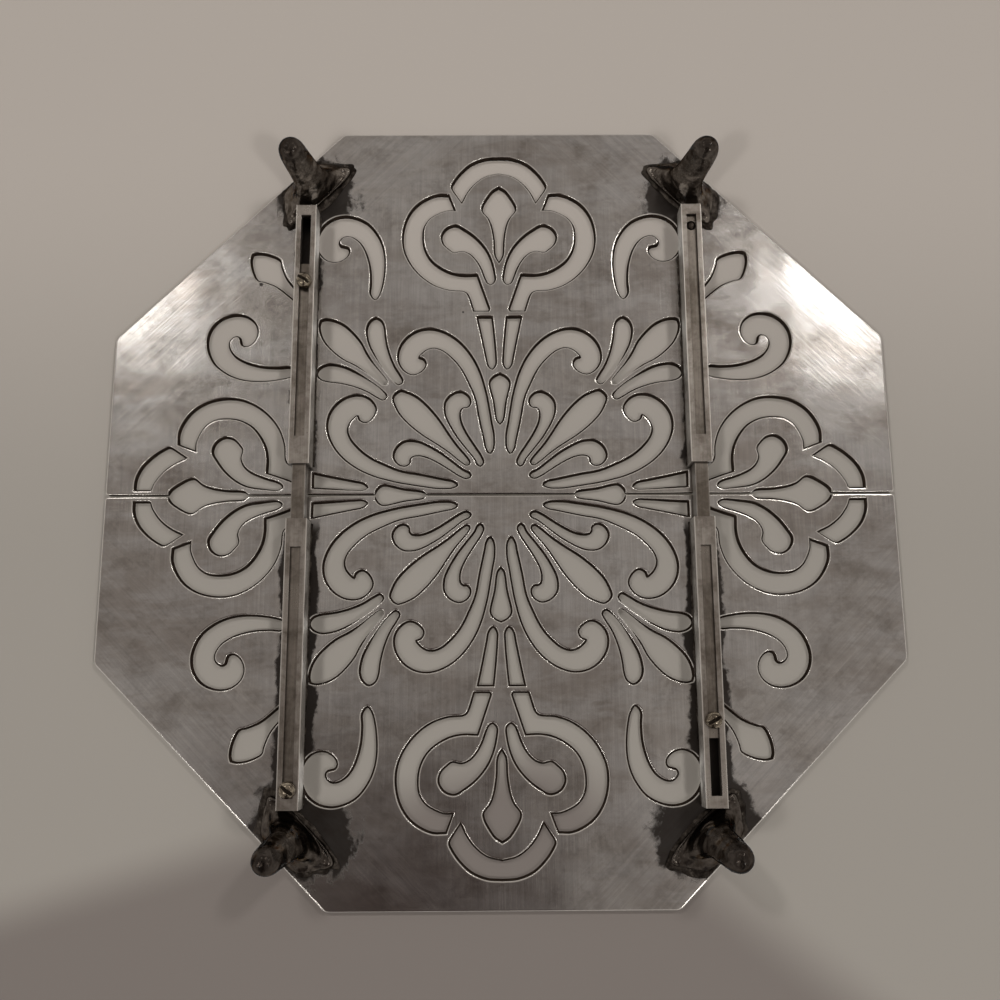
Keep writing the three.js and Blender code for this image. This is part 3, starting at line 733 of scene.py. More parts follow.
def silverFinish(look):
    # Worn silver plate: brushed along Y and rubbed along the cut corners, tarnished in clouds and smudges,
    # with rubbed rims brightened further as a painted highlight, a few pits, and dark heat stains round the
    # feet and along the channels
    f = Finish("wornSilver")
    x, y, z = f.split(f.place)
    ax, ay = f.math("ABSOLUTE", x), f.math("ABSOLUTE", y)
    # a different slice of noise in each quarter, so that the rubbing isn't mirrored
    quarter = f.sum(0.0, (f.math("SIGN", x), 0.07), (f.math("SIGN", y), 0.031))
    cornerwise = f.node("ShaderNodeCombineXYZ", X=ax, Y=ay, Z=f.math("ADD", z, quarter)).outputs[0]
    cornerwise = f.stretched(cornerwise, (1, 1, 1), (0, 0, -math.pi / 4))
    brushed = f.group("brushing", Vector=f.place, Fineness=0.6)
    rubbed = f.group("brushing", Vector=cornerwise, Fineness=0.45)
    clouds = f.group("clouds", Vector=f.place, Patch_Size=0.05, Level=0.52, Softness=0.16)
    spots = f.group("clouds", Vector=f.place, Patch_Size=0.009, Level=0.56, Softness=0.1)
    aslant = f.stretched(f.place, (0.45, 1.3, 1), (0, 0, 0.35))
    smudges = f.group("clouds", Vector=aslant, Patch_Size=0.014, Level=0.5, Softness=0.12)
    reach = f.sum(f.math("ADD", ax, ay), (clouds["Mottle"], 0.04))
    corner = f.step(reach, *look["corner"])
    streaks = f.blend(corner, brushed["Streaks"], rubbed["Streaks"])
    lines = f.blend(corner, brushed["Deep Lines"], rubbed["Deep Lines"])
    color = f.mix(clouds["Mask"], srgb(*look["clean"]), srgb(*look["dull"]))
    color = f.cover(spots["Mask"], look["spot"], color)
    color = f.cover(smudges["Mask"], look["smudge"], color)
    color = f.mix(1.0, color, f.step(streaks, 0.3, 0.7, *look["streakTone"]), "MULTIPLY")
    color = f.cover(lines, look["scratch"], color)
    stain = f.math("MULTIPLY", stainMask(f), look["stainShare"])
    color = f.mix(stain, color, srgb(*look["stain"]))
    for pitX, pitY, radius in pits:
        pit = f.group("nearPoint", Vector=f.place, Point=(pitX * mm, pitY * mm, plate["under"] * mm),
                      Radius=radius * 0.6 * mm, Fade=radius * 0.8 * mm)
        color = f.cover(pit["Mask"], look["pit"], color)
    # rubbed rims with a painted highlight on the rounded edges
    color = f.cover(f.attribute("rim"), look["rim"], color)
    rough = f.sum(look["rough"], (clouds["Mottle"], look["roughByCloud"]),
                  (smudges["Mottle"], look["roughBySmudge"]), (stain, look["roughByStain"]))
    normal = f.bump(f.noise(f.place, look["waveScale"], 2.0, 0.5), look["waveDepth"])
    normal = f.bump(streaks, look["streakDepth"], normal)
    return f.coat(color, rough, normal)


rail = {"middle": 55.6, "outerHalf": 2.9, "near": 7.7, "far": 84.4}
footPlace = {"x": 52.5, "y": 89.574}
stainStyle = {
    "footFront": 0.0125,  # radius of the patch round a foot, in metres, at the front and at the rear
    "footRear": 0.0148,
    "footFade": 0.004,
    "bandFront": 0.0007,  # width of the bands along the channels, in metres
    "bandRearMore": 0.002,
    "bandFade": 0.0012,
    "raggedScale": 420.0,
    "wideScale": 110.0,
    "wobble": (-0.68, 0.45, 0.9),  # a base, and the shares of the ragged and of the wide noise
    "footWobble": 4.0,
    "footEdge": (-0.25, 0.5),
    "bandWobble": 5.5,
    "bandEdge": (-0.3, 0.5),
    "frontToRear": (-0.05, 0.06),  # along Y, in metres: the front's sizes turn into the rear's
    "bandStart": (0.005, 0.011),  # from the seam, in metres: the bands begin
    "bandEnd": (0.0845, 0.088),  # and end
    "underFace": (0.0217, 0.0221),  # heights in metres that part the under face from the top face
}


def stainMask(f):
    # Dark patches with ragged edges: round each foot and in bands along both sides of each channel. Each is
    # the way inwards from its edge over its fade, with two noises added, through a smooth step
    style = stainStyle
    _, y, z = f.split(f.place)
    mirrored = f.node("ShaderNodeVectorMath", {"operation": "ABSOLUTE"}, Vector=f.place).outputs[0]
    ax, ay, _ = f.split(mirrored)
    ragged = f.noise(f.place, style["raggedScale"], 5.0, 0.65, 0.5)
    wide = f.noise(f.stretched(f.place, (1, 0.6, 1)), style["wideScale"], 3.0, 0.6, 0.8)
    base, raggedShare, wideShare = style["wobble"]
    wobble = f.sum(base, (ragged, raggedShare), (wide, wideShare))
    middle = ((footPlace["x"] + 1) * mm, (footPlace["y"] + 1) * mm, plate["under"] * mm)
    away = f.distance(mirrored, middle)
    size = f.step(y, *style["frontToRear"], style["footFront"], style["footRear"])
    nearFoot = f.math("DIVIDE", f.math("SUBTRACT", size, away), style["footFade"])
    nearFoot = f.step(f.sum(nearFoot, (wobble, style["footWobble"])), *style["footEdge"])
    off = f.math("ABSOLUTE", f.math("SUBTRACT", ax, rail["middle"] * mm))
    off = f.math("SUBTRACT", off, rail["outerHalf"] * mm)
    rear = f.step(y, *style["frontToRear"], 0.0, style["bandRearMore"])
    inward = f.math("SUBTRACT", f.math("ADD", style["bandFront"], rear), off)
    nearRail = f.math("DIVIDE", inward, style["bandFade"])
    nearRail = f.step(f.sum(nearRail, (wobble, style["bandWobble"])), *style["bandEdge"])
    nearRail = f.math("MULTIPLY", nearRail, f.step(ay, *style["bandStart"]))
    nearRail = f.math("MULTIPLY", nearRail, f.step(ay, *style["bandEnd"], 1.0, 0.0))
    under = f.step(z, *style["underFace"], 1.0, 0.0)
    return f.math("MULTIPLY", f.math("MAXIMUM", nearFoot, nearRail), under)


# the walls' own dark patina, darkened further as painted shade in the openings
sawnLook = {"pale": (44, 36, 30), "dark": (24, 20, 17), "rough": 0.9}


def sawnFinish(look):
    # The sawn walls of the piercings: never polished, with dark patina, and made nearly black and dull as
    # painted shade.
    f = Finish("sawnWall")
    clouds = f.group("clouds", Vector=f.place, Patch_Size=0.002, Level=0.5, Softness=0.2)
    f.shader.inputs["Specular IOR Level"].default_value = 0.0
    color = f.mix(clouds["Mask"], srgb(*look["pale"]), srgb(*look["dark"]))
    return f.coat(color, look["rough"], None, 0.0)


sawnMetal = sawnFinish(sawnLook)
silver = silverFinish(silverLook)
makePlate("frontPlate", (-1, -1), "front_half", silver, plate)
makePlate("rearPlate", (1, 1), "rear_half", silver, plate)
print("plates made")


# Feet
foot = {
    "x": footPlace["x"],
    "y": footPlace["y"],
    "under": 21.0,
    "columns": 96,
    # the base's outline from its outer side to its back: outwards, sideways
    "shield": [(9.2, 0), (9.2, 2.6), (9.1, 4.9), (8.4, 7.0), (6.4, 8.9), (4.2, 10.5), (2.3, 11.8),
               (0.9, 12.4), (-0.2, 11.9), (-1.0, 9.8), (-1.3, 7.2), (-1.4, 4.2), (-1.4, 0)],
    "edge": 0.7,  # height of the upright edge
    "flare": 3.7,  # height over which the wings draw in towards the leg
    "flarePower": 1.1,
    "rollAngle": 1.35,  # how far round from the middle of the back the roll goes
    "rollFade": 0.16,
    # the roll and the hollow above it, as bell curves over how far the section has drawn in: middle, width
    # and size
    "roll": (0.07, 0.07, 0.9),
    "hollow": (0.34, 0.15, 0.75),
    "wearAndSheenBand": (0.07, 0.08, 1.0),
    "wearAndSheenTips": (1.0, 0.12, 0.35),
    "middle": (3.0, 0.0),
    "channelDepth": 7.2,  # the foot keeps off the channel up to this height,
    "channelGap": 0.35,  # and by this much
    "dish": 0.6,  # how far the faces between the wings and the leg are hollowed
    # leg: height, outwards, half width, half depth
    "leg": [(0, 3.0, 4.1, 3.1), (3, 3.0, 4.1, 3.1), (6.4, 3.1, 4.05, 3.05), (8.5, 3.5, 4.0, 3.05),
            (11, 4.65, 4.0, 3.1), (13.5, 6.0, 4.0, 3.25), (15.5, 7.1, 3.95, 3.5), (17.2, 7.8, 3.82, 3.7),
            (18.6, 8.15, 3.5, 3.5), (19.7, 8.3, 2.9, 2.9), (20.5, 8.3, 2.05, 2.05), (20.9, 8.3, 1.15, 1.15),
            (21, 8.3, 0.55, 0.55)],
    "heights": [0, 0.35, 0.7, 0.95, 1.25, 1.65, 2.1, 2.7, 3.4, 4.2, 5.1, 6.1, 7.2, 8.4, 9.6, 10.8, 12, 13.2,
                14.3, 15.3, 16.2, 17, 17.8, 18.6, 19.3, 19.9, 20.35, 20.7, 20.9, 21],
}


def through(table, at):
    # Values of a table's columns between its rows, as a cubic between two rows whose slopes are worked out
    # from the rows on both sides.
    table = np.array(table, dtype=float)
    x = table[:, 0]
    out = []
    for column in table[:, 1:].T:
        slope = np.gradient(column, x)
        i = np.clip(np.searchsorted(x, at, side="right") - 1, 0, len(x) - 2)
        width = x[i + 1] - x[i]
        t = np.clip((at - x[i]) / width, 0, 1)
        value = (column[i] * (2 * t**3 - 3 * t**2 + 1) + column[i + 1] * (3 * t**2 - 2 * t**3)
                 + slope[i] * width * (t**3 - 2 * t**2 + t) + slope[i + 1] * width * (t**3 - t**2))
        out.append(value)
    return np.array(out)


def footOutline(style, columns):
    # The base's closed outline as evenly counted columns.
    shield = np.array(style["shield"], dtype=float)
    whole = np.vstack([shield, shield[-2:0:-1] * (1, -1), shield[:1]])
    return closedCurve(whole, np.linspace(0, len(whole) - 1, columns, endpoint=False))


def onPlate(p, q, h, signX, signY, style):
    # Points of a foot's own frame, outwards, sideways and down, set in the object's frame.
    turn = math.sqrt(0.5)
    x = style["x"] + (p + q) * turn
    y = style["y"] + (p - q) * turn
    x, y = clearOfChannel(x, y, h, style["channelGap"])
    return np.stack([signX * x, signY * y, style["under"] - h], axis=-1).reshape(-1, 3)


def faced(shape, mirror):
    # A grid's quads, facing outwards on either side of the mirror
    quads = gridFaces(*shape)
    return quads[:, ::-1] if mirror > 0 else quads


def bell(value, middle, width, size):
    # The size times the exponential of minus the squared distance from the middle in widths
    return size * np.exp(-((value - middle) / width) ** 2)


def makeFoot(name, signX, signY, body, material, style):
    # A cast foot, lofted downwards: its section is the base's outline at the plate and the leg's ellipse
    # further down, and the wings draw in as an exponential of the height. The sides between wing tips and
    # leg are dished a little
    outline = footOutline(style, style["columns"])
    angle = np.linspace(0, 2 * np.pi, style["columns"], endpoint=False)
    heights = np.array(style["heights"])[:, None]
    drawn = 1 - np.exp(-(np.clip(heights - style["edge"], 0, None) / style["flare"]) ** style["flarePower"])
    out, across, deep = (column[:, None] for column in through(style["leg"], heights[:, 0]))
    dish = style["dish"] * np.sin(np.pi * drawn) * np.sin(2 * angle) ** 2
    # a roll along the back and the wing tips, with a hollow between it and the leg
    around = np.abs(np.angle(np.exp(1j * (angle - np.pi))))
    back = 0.5 - 0.5 * np.tanh((around - style["rollAngle"]) / style["rollFade"])
    p = outline[:, 0] * (1 - drawn) + (out + deep * np.cos(angle)) * drawn - dish * np.cos(angle)
    q = outline[:, 1] * (1 - drawn) + across * np.sin(angle) * drawn - dish * np.sin(angle)
    rolled = bell(drawn, *style["roll"]) - bell(drawn, *style["hollow"])
    h = np.repeat(heights, style["columns"], axis=1) + back * rolled
    middle = np.array(style["middle"])
    base = [middle + (outline - middle) * reach for reach in (0, 0.6)]
    toe = style["leg"][-1]
    none = np.zeros_like(angle)
    p = np.vstack([base[0][:, 0], base[1][:, 0], p, none + toe[1]])
    q = np.vstack([base[0][:, 1], base[1][:, 1], q, none])
    h = np.vstack([none, none, h, none + toe[0]])
    points = onPlate(p, q, h, signX, signY, style)
    piece = newPiece(name, points, faced(p.shape, signX * signY), body, material)
    # paler rubbed metal along the back roll and the wing tips, partly a painted highlight on the ridges
    wear = (bell(np.abs(np.sin(angle)), *style["wearAndSheenTips"]) + back) * bell(drawn, *style["wearAndSheenBand"])
    paintAttribute(piece, "wear", np.vstack([none, none, wear, none]).ravel())
    mergeAndSmooth(piece)
    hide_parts(name[0].lower() + "".join("_" + c.lower() if c.isupper() else c for c in name[1:]))
    return piece


def closedCurve(points, at):
    # Closed smooth curve through the points, at the given places counted in points.
    p = points[:-1]
    count = len(p)
    i = np.floor(at).astype(int) % count
    t = (at - np.floor(at))[:, None]
    a, b, c, d = p[(i - 1) % count], p[i], p[(i + 1) % count], p[(i + 2) % count]
    return 0.5 * (2 * b + (c - a) * t + (2 * a - 5 * b + 4 * c - d) * t**2 + (3 * b - a - 3 * c + d) * t**3)


def clearOfChannel(x, y, h, gap):
    # Points that would lie in the channel or its gap are moved to the nearest of its two sides and its end.
    left, right = rail["middle"] - rail["outerHalf"] - gap, rail["middle"] + rail["outerHalf"] + gap
    end = rail["far"] + gap
    inside = (x > left) & (x < right) & (y < end) & (h < foot["channelDepth"])
    toEnd, toSide, toInner = end - y, right - x, x - left
    useEnd = inside & (toEnd <= toSide) & (toEnd <= toInner)
    useSide = inside & ~useEnd & (toSide <= toInner)
    useInner = inside & ~useEnd & ~useSide
    y = np.where(useEnd, end, y)
    x = np.where(useSide, right, np.where(useInner, left, x))
    return x, y


def mergeAndSmooth(piece):
    # Welds the doubled points at a pole and adds one smooth subdivision.
    weld = piece.modifiers.new("weld", "WELD")
    weld.merge_threshold = 0.00001
    smooth = piece.modifiers.new("smooth", "SUBSURF")
    smooth.levels = 1
    smooth.render_levels = 1


castLook = {
    "pale": (116, 108, 100),
    "dark": (72, 65, 59),
    "speck": ((50, 44, 39), 0.5),
    # worn rims and ridges, brightened partly as a painted highlight
    "worn": ((150, 143, 135), 0.5),
    "toe": ((40, 34, 31), 0.55),  # darker towards the toe's end, within this many metres of it
    "toeReach": 0.009,
    "rear": ((40, 34, 31), 0.45),  # and darker on the rear half
    "edgeTint": (0.2, 0.18, 0.165, 1),
    "skin": 0.12,
    "skinRough": 0.1,
    "rough": 0.12,
    "roughByCloud": 0.27,
    "lumpScale": 260.0,
    "lumpDepth": 0.0011,
    "grainScale": 1100.0,
    "grainDepth": 0.00009,
}


def castFinish(look):
    # Dark cast metal in two browns, paler on the worn rims and ridges, which partly stands for a painted
    # highlight, and darker at the toe's end and on the rear half
    f = Finish("darkCast")
    _, y, z = f.split(f.place)
    clouds = f.group("clouds", Vector=f.place, Patch_Size=0.006, Level=0.52, Softness=0.16)
    fine = f.group("clouds", Vector=f.place, Patch_Size=0.0016, Level=0.6, Softness=0.1)
    worn = f.math("MULTIPLY", f.attribute("wear"), f.step(clouds["Mottle"], 0.35, 0.6, 1.0, 0.45))
    color = f.mix(clouds["Mask"], srgb(*look["pale"]), srgb(*look["dark"]))
    color = f.cover(fine["Mask"], look["speck"], color)
    color = f.cover(worn, look["worn"], color)
    color = f.cover(f.step(z, 0.0, look["toeReach"], 1.0, 0.0), look["toe"], color)
    color = f.cover(f.step(y, -0.04, 0.04), look["rear"], color)
    f.shader.inputs["Specular Tint"].default_value = look["edgeTint"]
    f.shader.inputs["Coat Weight"].default_value = look["skin"]
    f.shader.inputs["Coat Roughness"].default_value = look["skinRough"]
    normal = f.bump(f.noise(f.place, look["lumpScale"], 1.0, 0.4), look["lumpDepth"])
    normal = f.bump(f.noise(f.place, look["grainScale"], 1.0, 0.4), look["grainDepth"], normal)
    return f.coat(color, f.sum(look["rough"], (clouds["Mottle"], look["roughByCloud"])), normal)


cast = castFinish(castLook)
for half, signY in (("front", -1), ("rear", 1)):
    for side, signX in (("Left", -1), ("Right", 1)):
        makeFoot(f"{half}{side}Foot", signX, signY, f"{half}_half", cast, foot)
print("feet made")


# Solder: a lumpy skirt round each foot, and a thin uneven bead along both sides of each channel
solder = {
    "columns": 150,
    "reach": (0.5, 2.6),  # least and greatest spread past the foot
    "height": (0.25, 1.0),
    "outerLimit": 10.1,
    "beadStep": 0.6,
    "beadEnds": (0.4, 0.3),  # how far a bead stops short of its channel's ends, at the seam and outside
    "bead": (0.12, 0.75),
    "sink": 0.06,
    "waves": 16,  # how many waves the noise of the spread, the height and the lumps has
    "tallWaves": 22,
    "lumpWaves": 40,
    "lumps": 0.12,
    "beadWaves": 60,
    "tries": 8,  # a spread that runs off the metal is shrunk this many times
    "shrink": 0.6,
    # the skirt's rings: spread past the outline as a share of the reach (none is the middle), and height as
    # a share of the ring's own
    "rings": [(1, 0.02), (0.85, 0.35), (0.6, 0.7), (0.3, 0.9), (-0.1, 1), (None, 1)],
}


def isMetal(x, y):
    # Whether places on the rear half's own side lie on the plate and not in an opening.
    return insideLoops(np.column_stack([np.abs(x), np.abs(y)]), plateLoops)


def makeSkirt(name, signX, signY, seed, body, material, style):
    # A closed ring of solder whose spread and height change as smooth noise round the foot.
    columns = style["columns"]
    outline = footOutline(foot, columns)
    middle = np.array(foot["middle"])
    away = outline - middle
    length = np.linalg.norm(away, axis=1)[:, None]
    low, high = style["reach"]
    reach = low + (high - low) * (0.5 + 0.5 * smoothNoise(columns, style["waves"], seed))
    turn = math.sqrt(0.5)
    for _ in range(style["tries"]):
        edge = middle + away / length * (length + reach[:, None])
        metal = isMetal(foot["x"] + (edge[:, 0] + edge[:, 1]) * turn,
                        foot["y"] + (edge[:, 0] - edge[:, 1]) * turn)
        reach = np.where(metal, reach, reach * style["shrink"])
    lowest, highest = style["height"]
    tall = lowest + (highest - lowest) * (0.5 + 0.5 * smoothNoise(columns, style["tallWaves"], seed + 50))
    lumps = style["lumps"] * smoothNoise(columns, style["lumpWaves"], seed + 90)
    rings = [(None, -style["sink"]), (1, -style["sink"]), *style["rings"]]
    p, q, h = [], [], []
    for spread, share in rings:
        past = -length if spread is None else spread * reach[:, None]
        place = middle + away / length * (length + past)
        p.append(np.minimum(place[:, 0], style["outerLimit"]))
        q.append(place[:, 1])
        h.append(np.full(columns, share) if share < 0.1 else share * (tall + lumps * (1 if spread else 0)))
    h[-1] = np.full(columns, h[-1].mean())
    points = onPlate(np.array(p), np.array(q), np.array(h), signX, signY, {**foot, "channelGap": 0.02})
    piece = newPiece(name, points, faced((len(rings), columns), signX * signY), body, material)
    mergeAndSmooth(piece)
    return piece


def makeBead(name, signX, signY, side, seed, body, material, style):
    # A bead of solder in the corner between a channel and the plate, with nothing across the openings.
    atSeam, outside = style["beadEnds"]
    y = np.arange(rail["near"] + atSeam, rail["far"] - outside, style["beadStep"])
    wall = rail["middle"] + side * rail["outerHalf"]
    metal = isMetal(np.full_like(y, wall + side * 0.5), y).astype(float)
    soft = np.convolve(np.pad(metal, 2, mode="edge"), np.ones(5) / 5, mode="valid") * metal
    low, high = style["bead"]
    noises = (smoothNoise(len(y), style["beadWaves"], own, False) for own in (seed, seed + 9))
    wide, tall = ((low + (high - low) * (0.5 + 0.5 * noise)) * soft for noise in noises)
    sunk = style["sink"]
    # across from the wall and height, as shares of the bead's own size, plus a fixed part
    section = [(0, 1, -sunk, 0), (0.22, 0.72, 0, 0), (0.55, 0.4, 0, 0), (1, 0, 0, 0), (1, 0, 0, -sunk),
               (0, 0, -sunk, -sunk)]
    rows = [np.stack([wall + side * (across * wide + inset), y, up * tall + drop], axis=-1)
            for across, up, inset, drop in section]
    grid = np.stack(rows, axis=1)
    grid[..., 2] = plate["under"] - grid[..., 2]
    points = (grid * (signX, signY, 1)).reshape(-1, 3)
    count, around = grid.shape[:2]
    quads = gridFaces(count, around)
    caps = [list(range(around)), list(range((count - 1) * around, count * around))]
    if signX * signY * side > 0:
        faces = [*quads.tolist(), caps[0][::-1], caps[1]]
    else:
        faces = [*quads[:, ::-1].tolist(), caps[0], caps[1][::-1]]
    piece = newPiece(name, points, faces, body, material)
    return piece


solderLook = {
    "pale": (84, 78, 72),
    "dark": (40, 35, 31),
    "dip": ((32, 28, 25), 0.6),
    "rough": 0.26,
    "roughByDip": 0.3,
    "lumpScale": 420.0,
    "lumpDepth": 0.0006,
}


def solderFinish(look):
    # Old lead solder, in patches from grey to nearly black
    f = Finish("oldSolder")
    clouds = f.group("clouds", Vector=f.place, Patch_Size=0.0035, Level=0.5, Softness=0.12)
    fine = f.group("clouds", Vector=f.place, Patch_Size=0.001, Level=0.55, Softness=0.1)
    color = f.mix(clouds["Mask"], srgb(*look["pale"]), srgb(*look["dark"]))
    color = f.cover(fine["Mask"], look["dip"], color)
    normal = f.bump(f.noise(f.place, look["lumpScale"], 2.0, 0.5), look["lumpDepth"])
    return f.coat(color, f.sum(look["rough"], (fine["Mottle"], look["roughByDip"])), normal)


plateLoops = [loop for part in drawHalf(plate) for loop in (part if isinstance(part, list) else [part])]
oldSolder = solderFinish(solderLook)
seed = 20
for half, signY in (("front", -1), ("rear", 1)):
    for sideName, signX in (("Left", -1), ("Right", 1)):
        seed += 7
        place, kind = f"{half}{sideName}", (f"{half}_half", oldSolder, solder)
        makeSkirt(f"{place}Solder", signX, signY, seed, *kind)
        makeBead(f"{place}InnerBead", signX, signY, -1, seed + 3, *kind)
        makeBead(f"{place}OuterBead", signX, signY, 1, seed + 5, *kind)
print("solder made")


# Channels, plugs and bars keep their CAD solids, with rounded edges and worn metal
bevelWidths = {"channel": 0.1, "plug": 0.08, "bar": 0.08, "pin": 0.05}


def roundEdges(nodeName, width, material):
    # A bevel of the given width on a CAD solid, and its material
    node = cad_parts[nodeName]
    node.data.materials.clear()
    node.data.materials.append(material)
    weld = node.modifiers.new("weld", "WELD")
    weld.merge_threshold = 0.00002
    bevel = node.modifiers.new("bevel", "BEVEL")
    bevel.width = width * mm
    bevel.segments = 3
    bevel.limit_method = "ANGLE"
    bevel.angle_limit = math.radians(35)
    bevel.harden_normals = True


railLook = {
    # screen colours, half width, height of the face, and how bright the painted highlight along the edges is
    "channel": {"light": (180, 173, 165), "dark": (118, 109, 100), "half": 2.9, "face": 14.4, "shine": 0.85},
    "bar": {"light": (150, 142, 133), "dark": (104, 96, 87), "half": 1.85, "face": 15.5, "shine": 0.2},
    # the painted highlight along the face's two edges
    "edge": (236, 231, 223),
    "edgeSheenFrom": 0.38,  # the painted highlight's two limits, inwards from the side
    "edgeSheenTo": 0.1,
    # painted shade down the sides, in patches
    "dirt": (62, 54, 47),
    "sideShadeFrom": 0.05,  # where the painted shade begins and is full, downwards from the face
    "sideShadeTo": 0.35,
    "rough": 0.22,
    "roughByCloud": 0.14,
    "roughBySideShade": 0.45,
    "specular": 0.1,
    "streakDepth": 0.00001,
}


def railFinish(name, look, own):
    # Drawn metal, streaked along Y, with a painted highlight along the edges of its face and painted shade
    # down its sides
    f = Finish(name)
    brushed = f.group("brushing", Vector=f.place, Fineness=0.8)
    clouds = f.group("clouds", Vector=f.place, Patch_Size=0.012, Level=0.54, Softness=0.15)
    color = f.mix(clouds["Mask"], srgb(*own["light"]), srgb(*own["dark"]))
    color = f.mix(1.0, color, f.step(brushed["Streaks"], 0.3, 0.7, 0.8, 1.1), "MULTIPLY")
    x, _, z = f.split(f.place)
    off = f.math("ABSOLUTE", f.math("SUBTRACT", f.math("ABSOLUTE", x), rail["middle"] * mm))
    # painted highlight along both edges of the face
    edge = f.step(off, (own["half"] - look["edgeSheenFrom"]) * mm, (own["half"] - look["edgeSheenTo"]) * mm)
    color = f.cover(edge, (look["edge"], own["shine"]), color)
    # the sides below the face are darkened as painted shade, at 60 to 95 percent in patches
    deep = f.step(z, (own["face"] + look["sideShadeFrom"]) * mm, (own["face"] + look["sideShadeTo"]) * mm)
    dirt = f.math("MULTIPLY", deep, f.step(clouds["Mottle"], 0.3, 0.6, 0.95, 0.6))
    color = f.mix(dirt, color, srgb(*look["dirt"]))
    rough = f.sum(look["rough"], (clouds["Mottle"], look["roughByCloud"]), (dirt, look["roughBySideShade"]))
    f.shader.inputs["Specular IOR Level"].default_value = look["specular"]
    metallic = f.math("SUBTRACT", 1.0, f.math("MULTIPLY", dirt, 0.6))
    return f.coat(color, rough, f.bump(brushed["Streaks"], look["streakDepth"]), metallic)


channelMetal = railFinish("channelMetal", railLook, railLook["channel"])
barMetal = railFinish("barMetal", railLook, railLook["bar"])
for half in ("front", "rear"):
    for side in ("left", "right"):
        roundEdges(f"{half}_{side}_channel", bevelWidths["channel"], channelMetal)
        roundEdges(f"{half}_{side}_end_plug", bevelWidths["plug"], channelMetal)
for side in ("left", "right"):
    roundEdges(f"{side}_slide_bar", bevelWidths["bar"], barMetal)
print("channels and bars finished")


# Screws
screw = {
    "headRadius": 2.2, "headHeight": 1.9, "headRim": 0.5, "slotWidth": 0.8, "slotDepth": 0.7,
    "shankRadius": 1.1, "seat": 14.1, "shankTop": 4.8, "columns": 64, "domeRows": 26,
}


def makeScrew(name, x, y, turnAngle, body, material, style):
    # A slotted round-head screw: the dome is a quarter wave in height over the radius, less the slot, a
    # trough with soft sides across it. The skin goes on over the rim, the underside and the shank.
    angle = np.linspace(0, 2 * np.pi, style["columns"], endpoint=False)
    radius = style["headRadius"] * np.sin(np.linspace(0, np.pi / 2, style["domeRows"]))
    across, around = np.meshgrid(radius, angle, indexing="ij")
    px, py = across * np.cos(around), across * np.sin(around)
    height = style["headRim"] + (style["headHeight"] - style["headRim"]) * np.sqrt(
        np.clip(1 - (across / style["headRadius"]) ** 2, 0, 1))
    offSlot = np.abs(px * np.sin(turnAngle) - py * np.cos(turnAngle))
    trough = np.clip((style["slotWidth"] / 2 + 0.08 - offSlot) / 0.16, 0, 1)
    floor = style["headHeight"] - style["slotDepth"]
    height = np.where(height > floor, height + (floor - height) * trough, height)
    rows = [np.stack([px, py, -height], axis=-1)]
    ring = lambda r, z: np.column_stack([r * np.cos(angle), r * np.sin(angle), 0 * angle + z])[None]
    head, shank = style["headRadius"], style["shankRadius"]
    for r, z in ((head, -0.28), (head, -0.08), (head - 0.08, 0.0), (shank + 0.1, 0.0), (shank, 0.08),
                 (shank, style["shankTop"]), (0, style["shankTop"])):
        rows.append(ring(r, z))
    grid = np.concatenate(rows)
    points = grid.reshape(-1, 3) + (x, y, style["seat"])
    piece = newPiece(name, points, gridFaces(*grid.shape[:2])[:, ::-1], body, material)
    # the slot's trough, marked for the finish to darken as painted shade
    inSlot = np.zeros(grid.shape[:2])
    inSlot[:len(trough)] = np.where(height >= floor, trough, 0)
    paintAttribute(piece, "slot", inSlot.ravel())
    weld = piece.modifiers.new("weld", "WELD")
    weld.merge_threshold = 0.00001
    return piece


brassLook = {
    "rubbed": (172, 161, 143),
    "brown": (70, 60, 51),
    # painted shade in the slot
    "slot": ((30, 24, 20), 0.9),
    "rough": 0.12,
    "roughByCloud": 0.2,
    "roughBySlot": 0.4,
    "lumpScale": 900.0,
    "lumpDepth": 0.00012,
}


def brassFinish(look):
    # Aged brass, with painted shade in the slots, and rubbed yellow-grey on the dome
    f = Finish("agedBrass")
    clouds = f.group("clouds", Vector=f.place, Patch_Size=0.0016, Level=0.5, Softness=0.15)
    slot = f.attribute("slot")
    color = f.mix(clouds["Mask"], srgb(*look["rubbed"]), srgb(*look["brown"]))
    color = f.cover(slot, look["slot"], color)
    rough = f.sum(look["rough"], (clouds["Mottle"], look["roughByCloud"]), (slot, look["roughBySlot"]))
    return f.coat(color, rough, f.bump(f.noise(f.place, look["lumpScale"], 1.0, 0.4), look["lumpDepth"]))


brass = brassFinish(brassLook)
slotTurns = {"left_front_screw": 0.6, "left_rear_screw": 0.66, "right_rear_screw": -0.5}
for nodeName, turnAngle in slotTurns.items():
    low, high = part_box(nodeName)
    middle = (low + high) / 2 / mm
    side = nodeName.split("_")[0]
    first, *rest = nodeName.split("_")
    made = makeScrew(first + "".join(word.title() for word in rest), middle.x, middle.y, turnAngle,
                     f"{side}_bar", brass, screw)
    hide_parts(nodeName)


pinLook = {"pale": (96, 88, 80), "dark": (48, 42, 38), "rough": 0.34, "lumpDepth": 0.0001}


def pinFinish(look):
    # Steel gone dark, with small lumps
    f = Finish("darkPin")
    clouds = f.group("clouds", Vector=f.place, Patch_Size=0.001, Level=0.5, Softness=0.2)
    color = f.mix(clouds["Mask"], srgb(*look["pale"]), srgb(*look["dark"]))
    return f.coat(color, look["rough"], f.bump(clouds["Mottle"], look["lumpDepth"]))


roundEdges("right_front_stop_pin", bevelWidths["pin"], pinFinish(pinLook))
print("screws made")


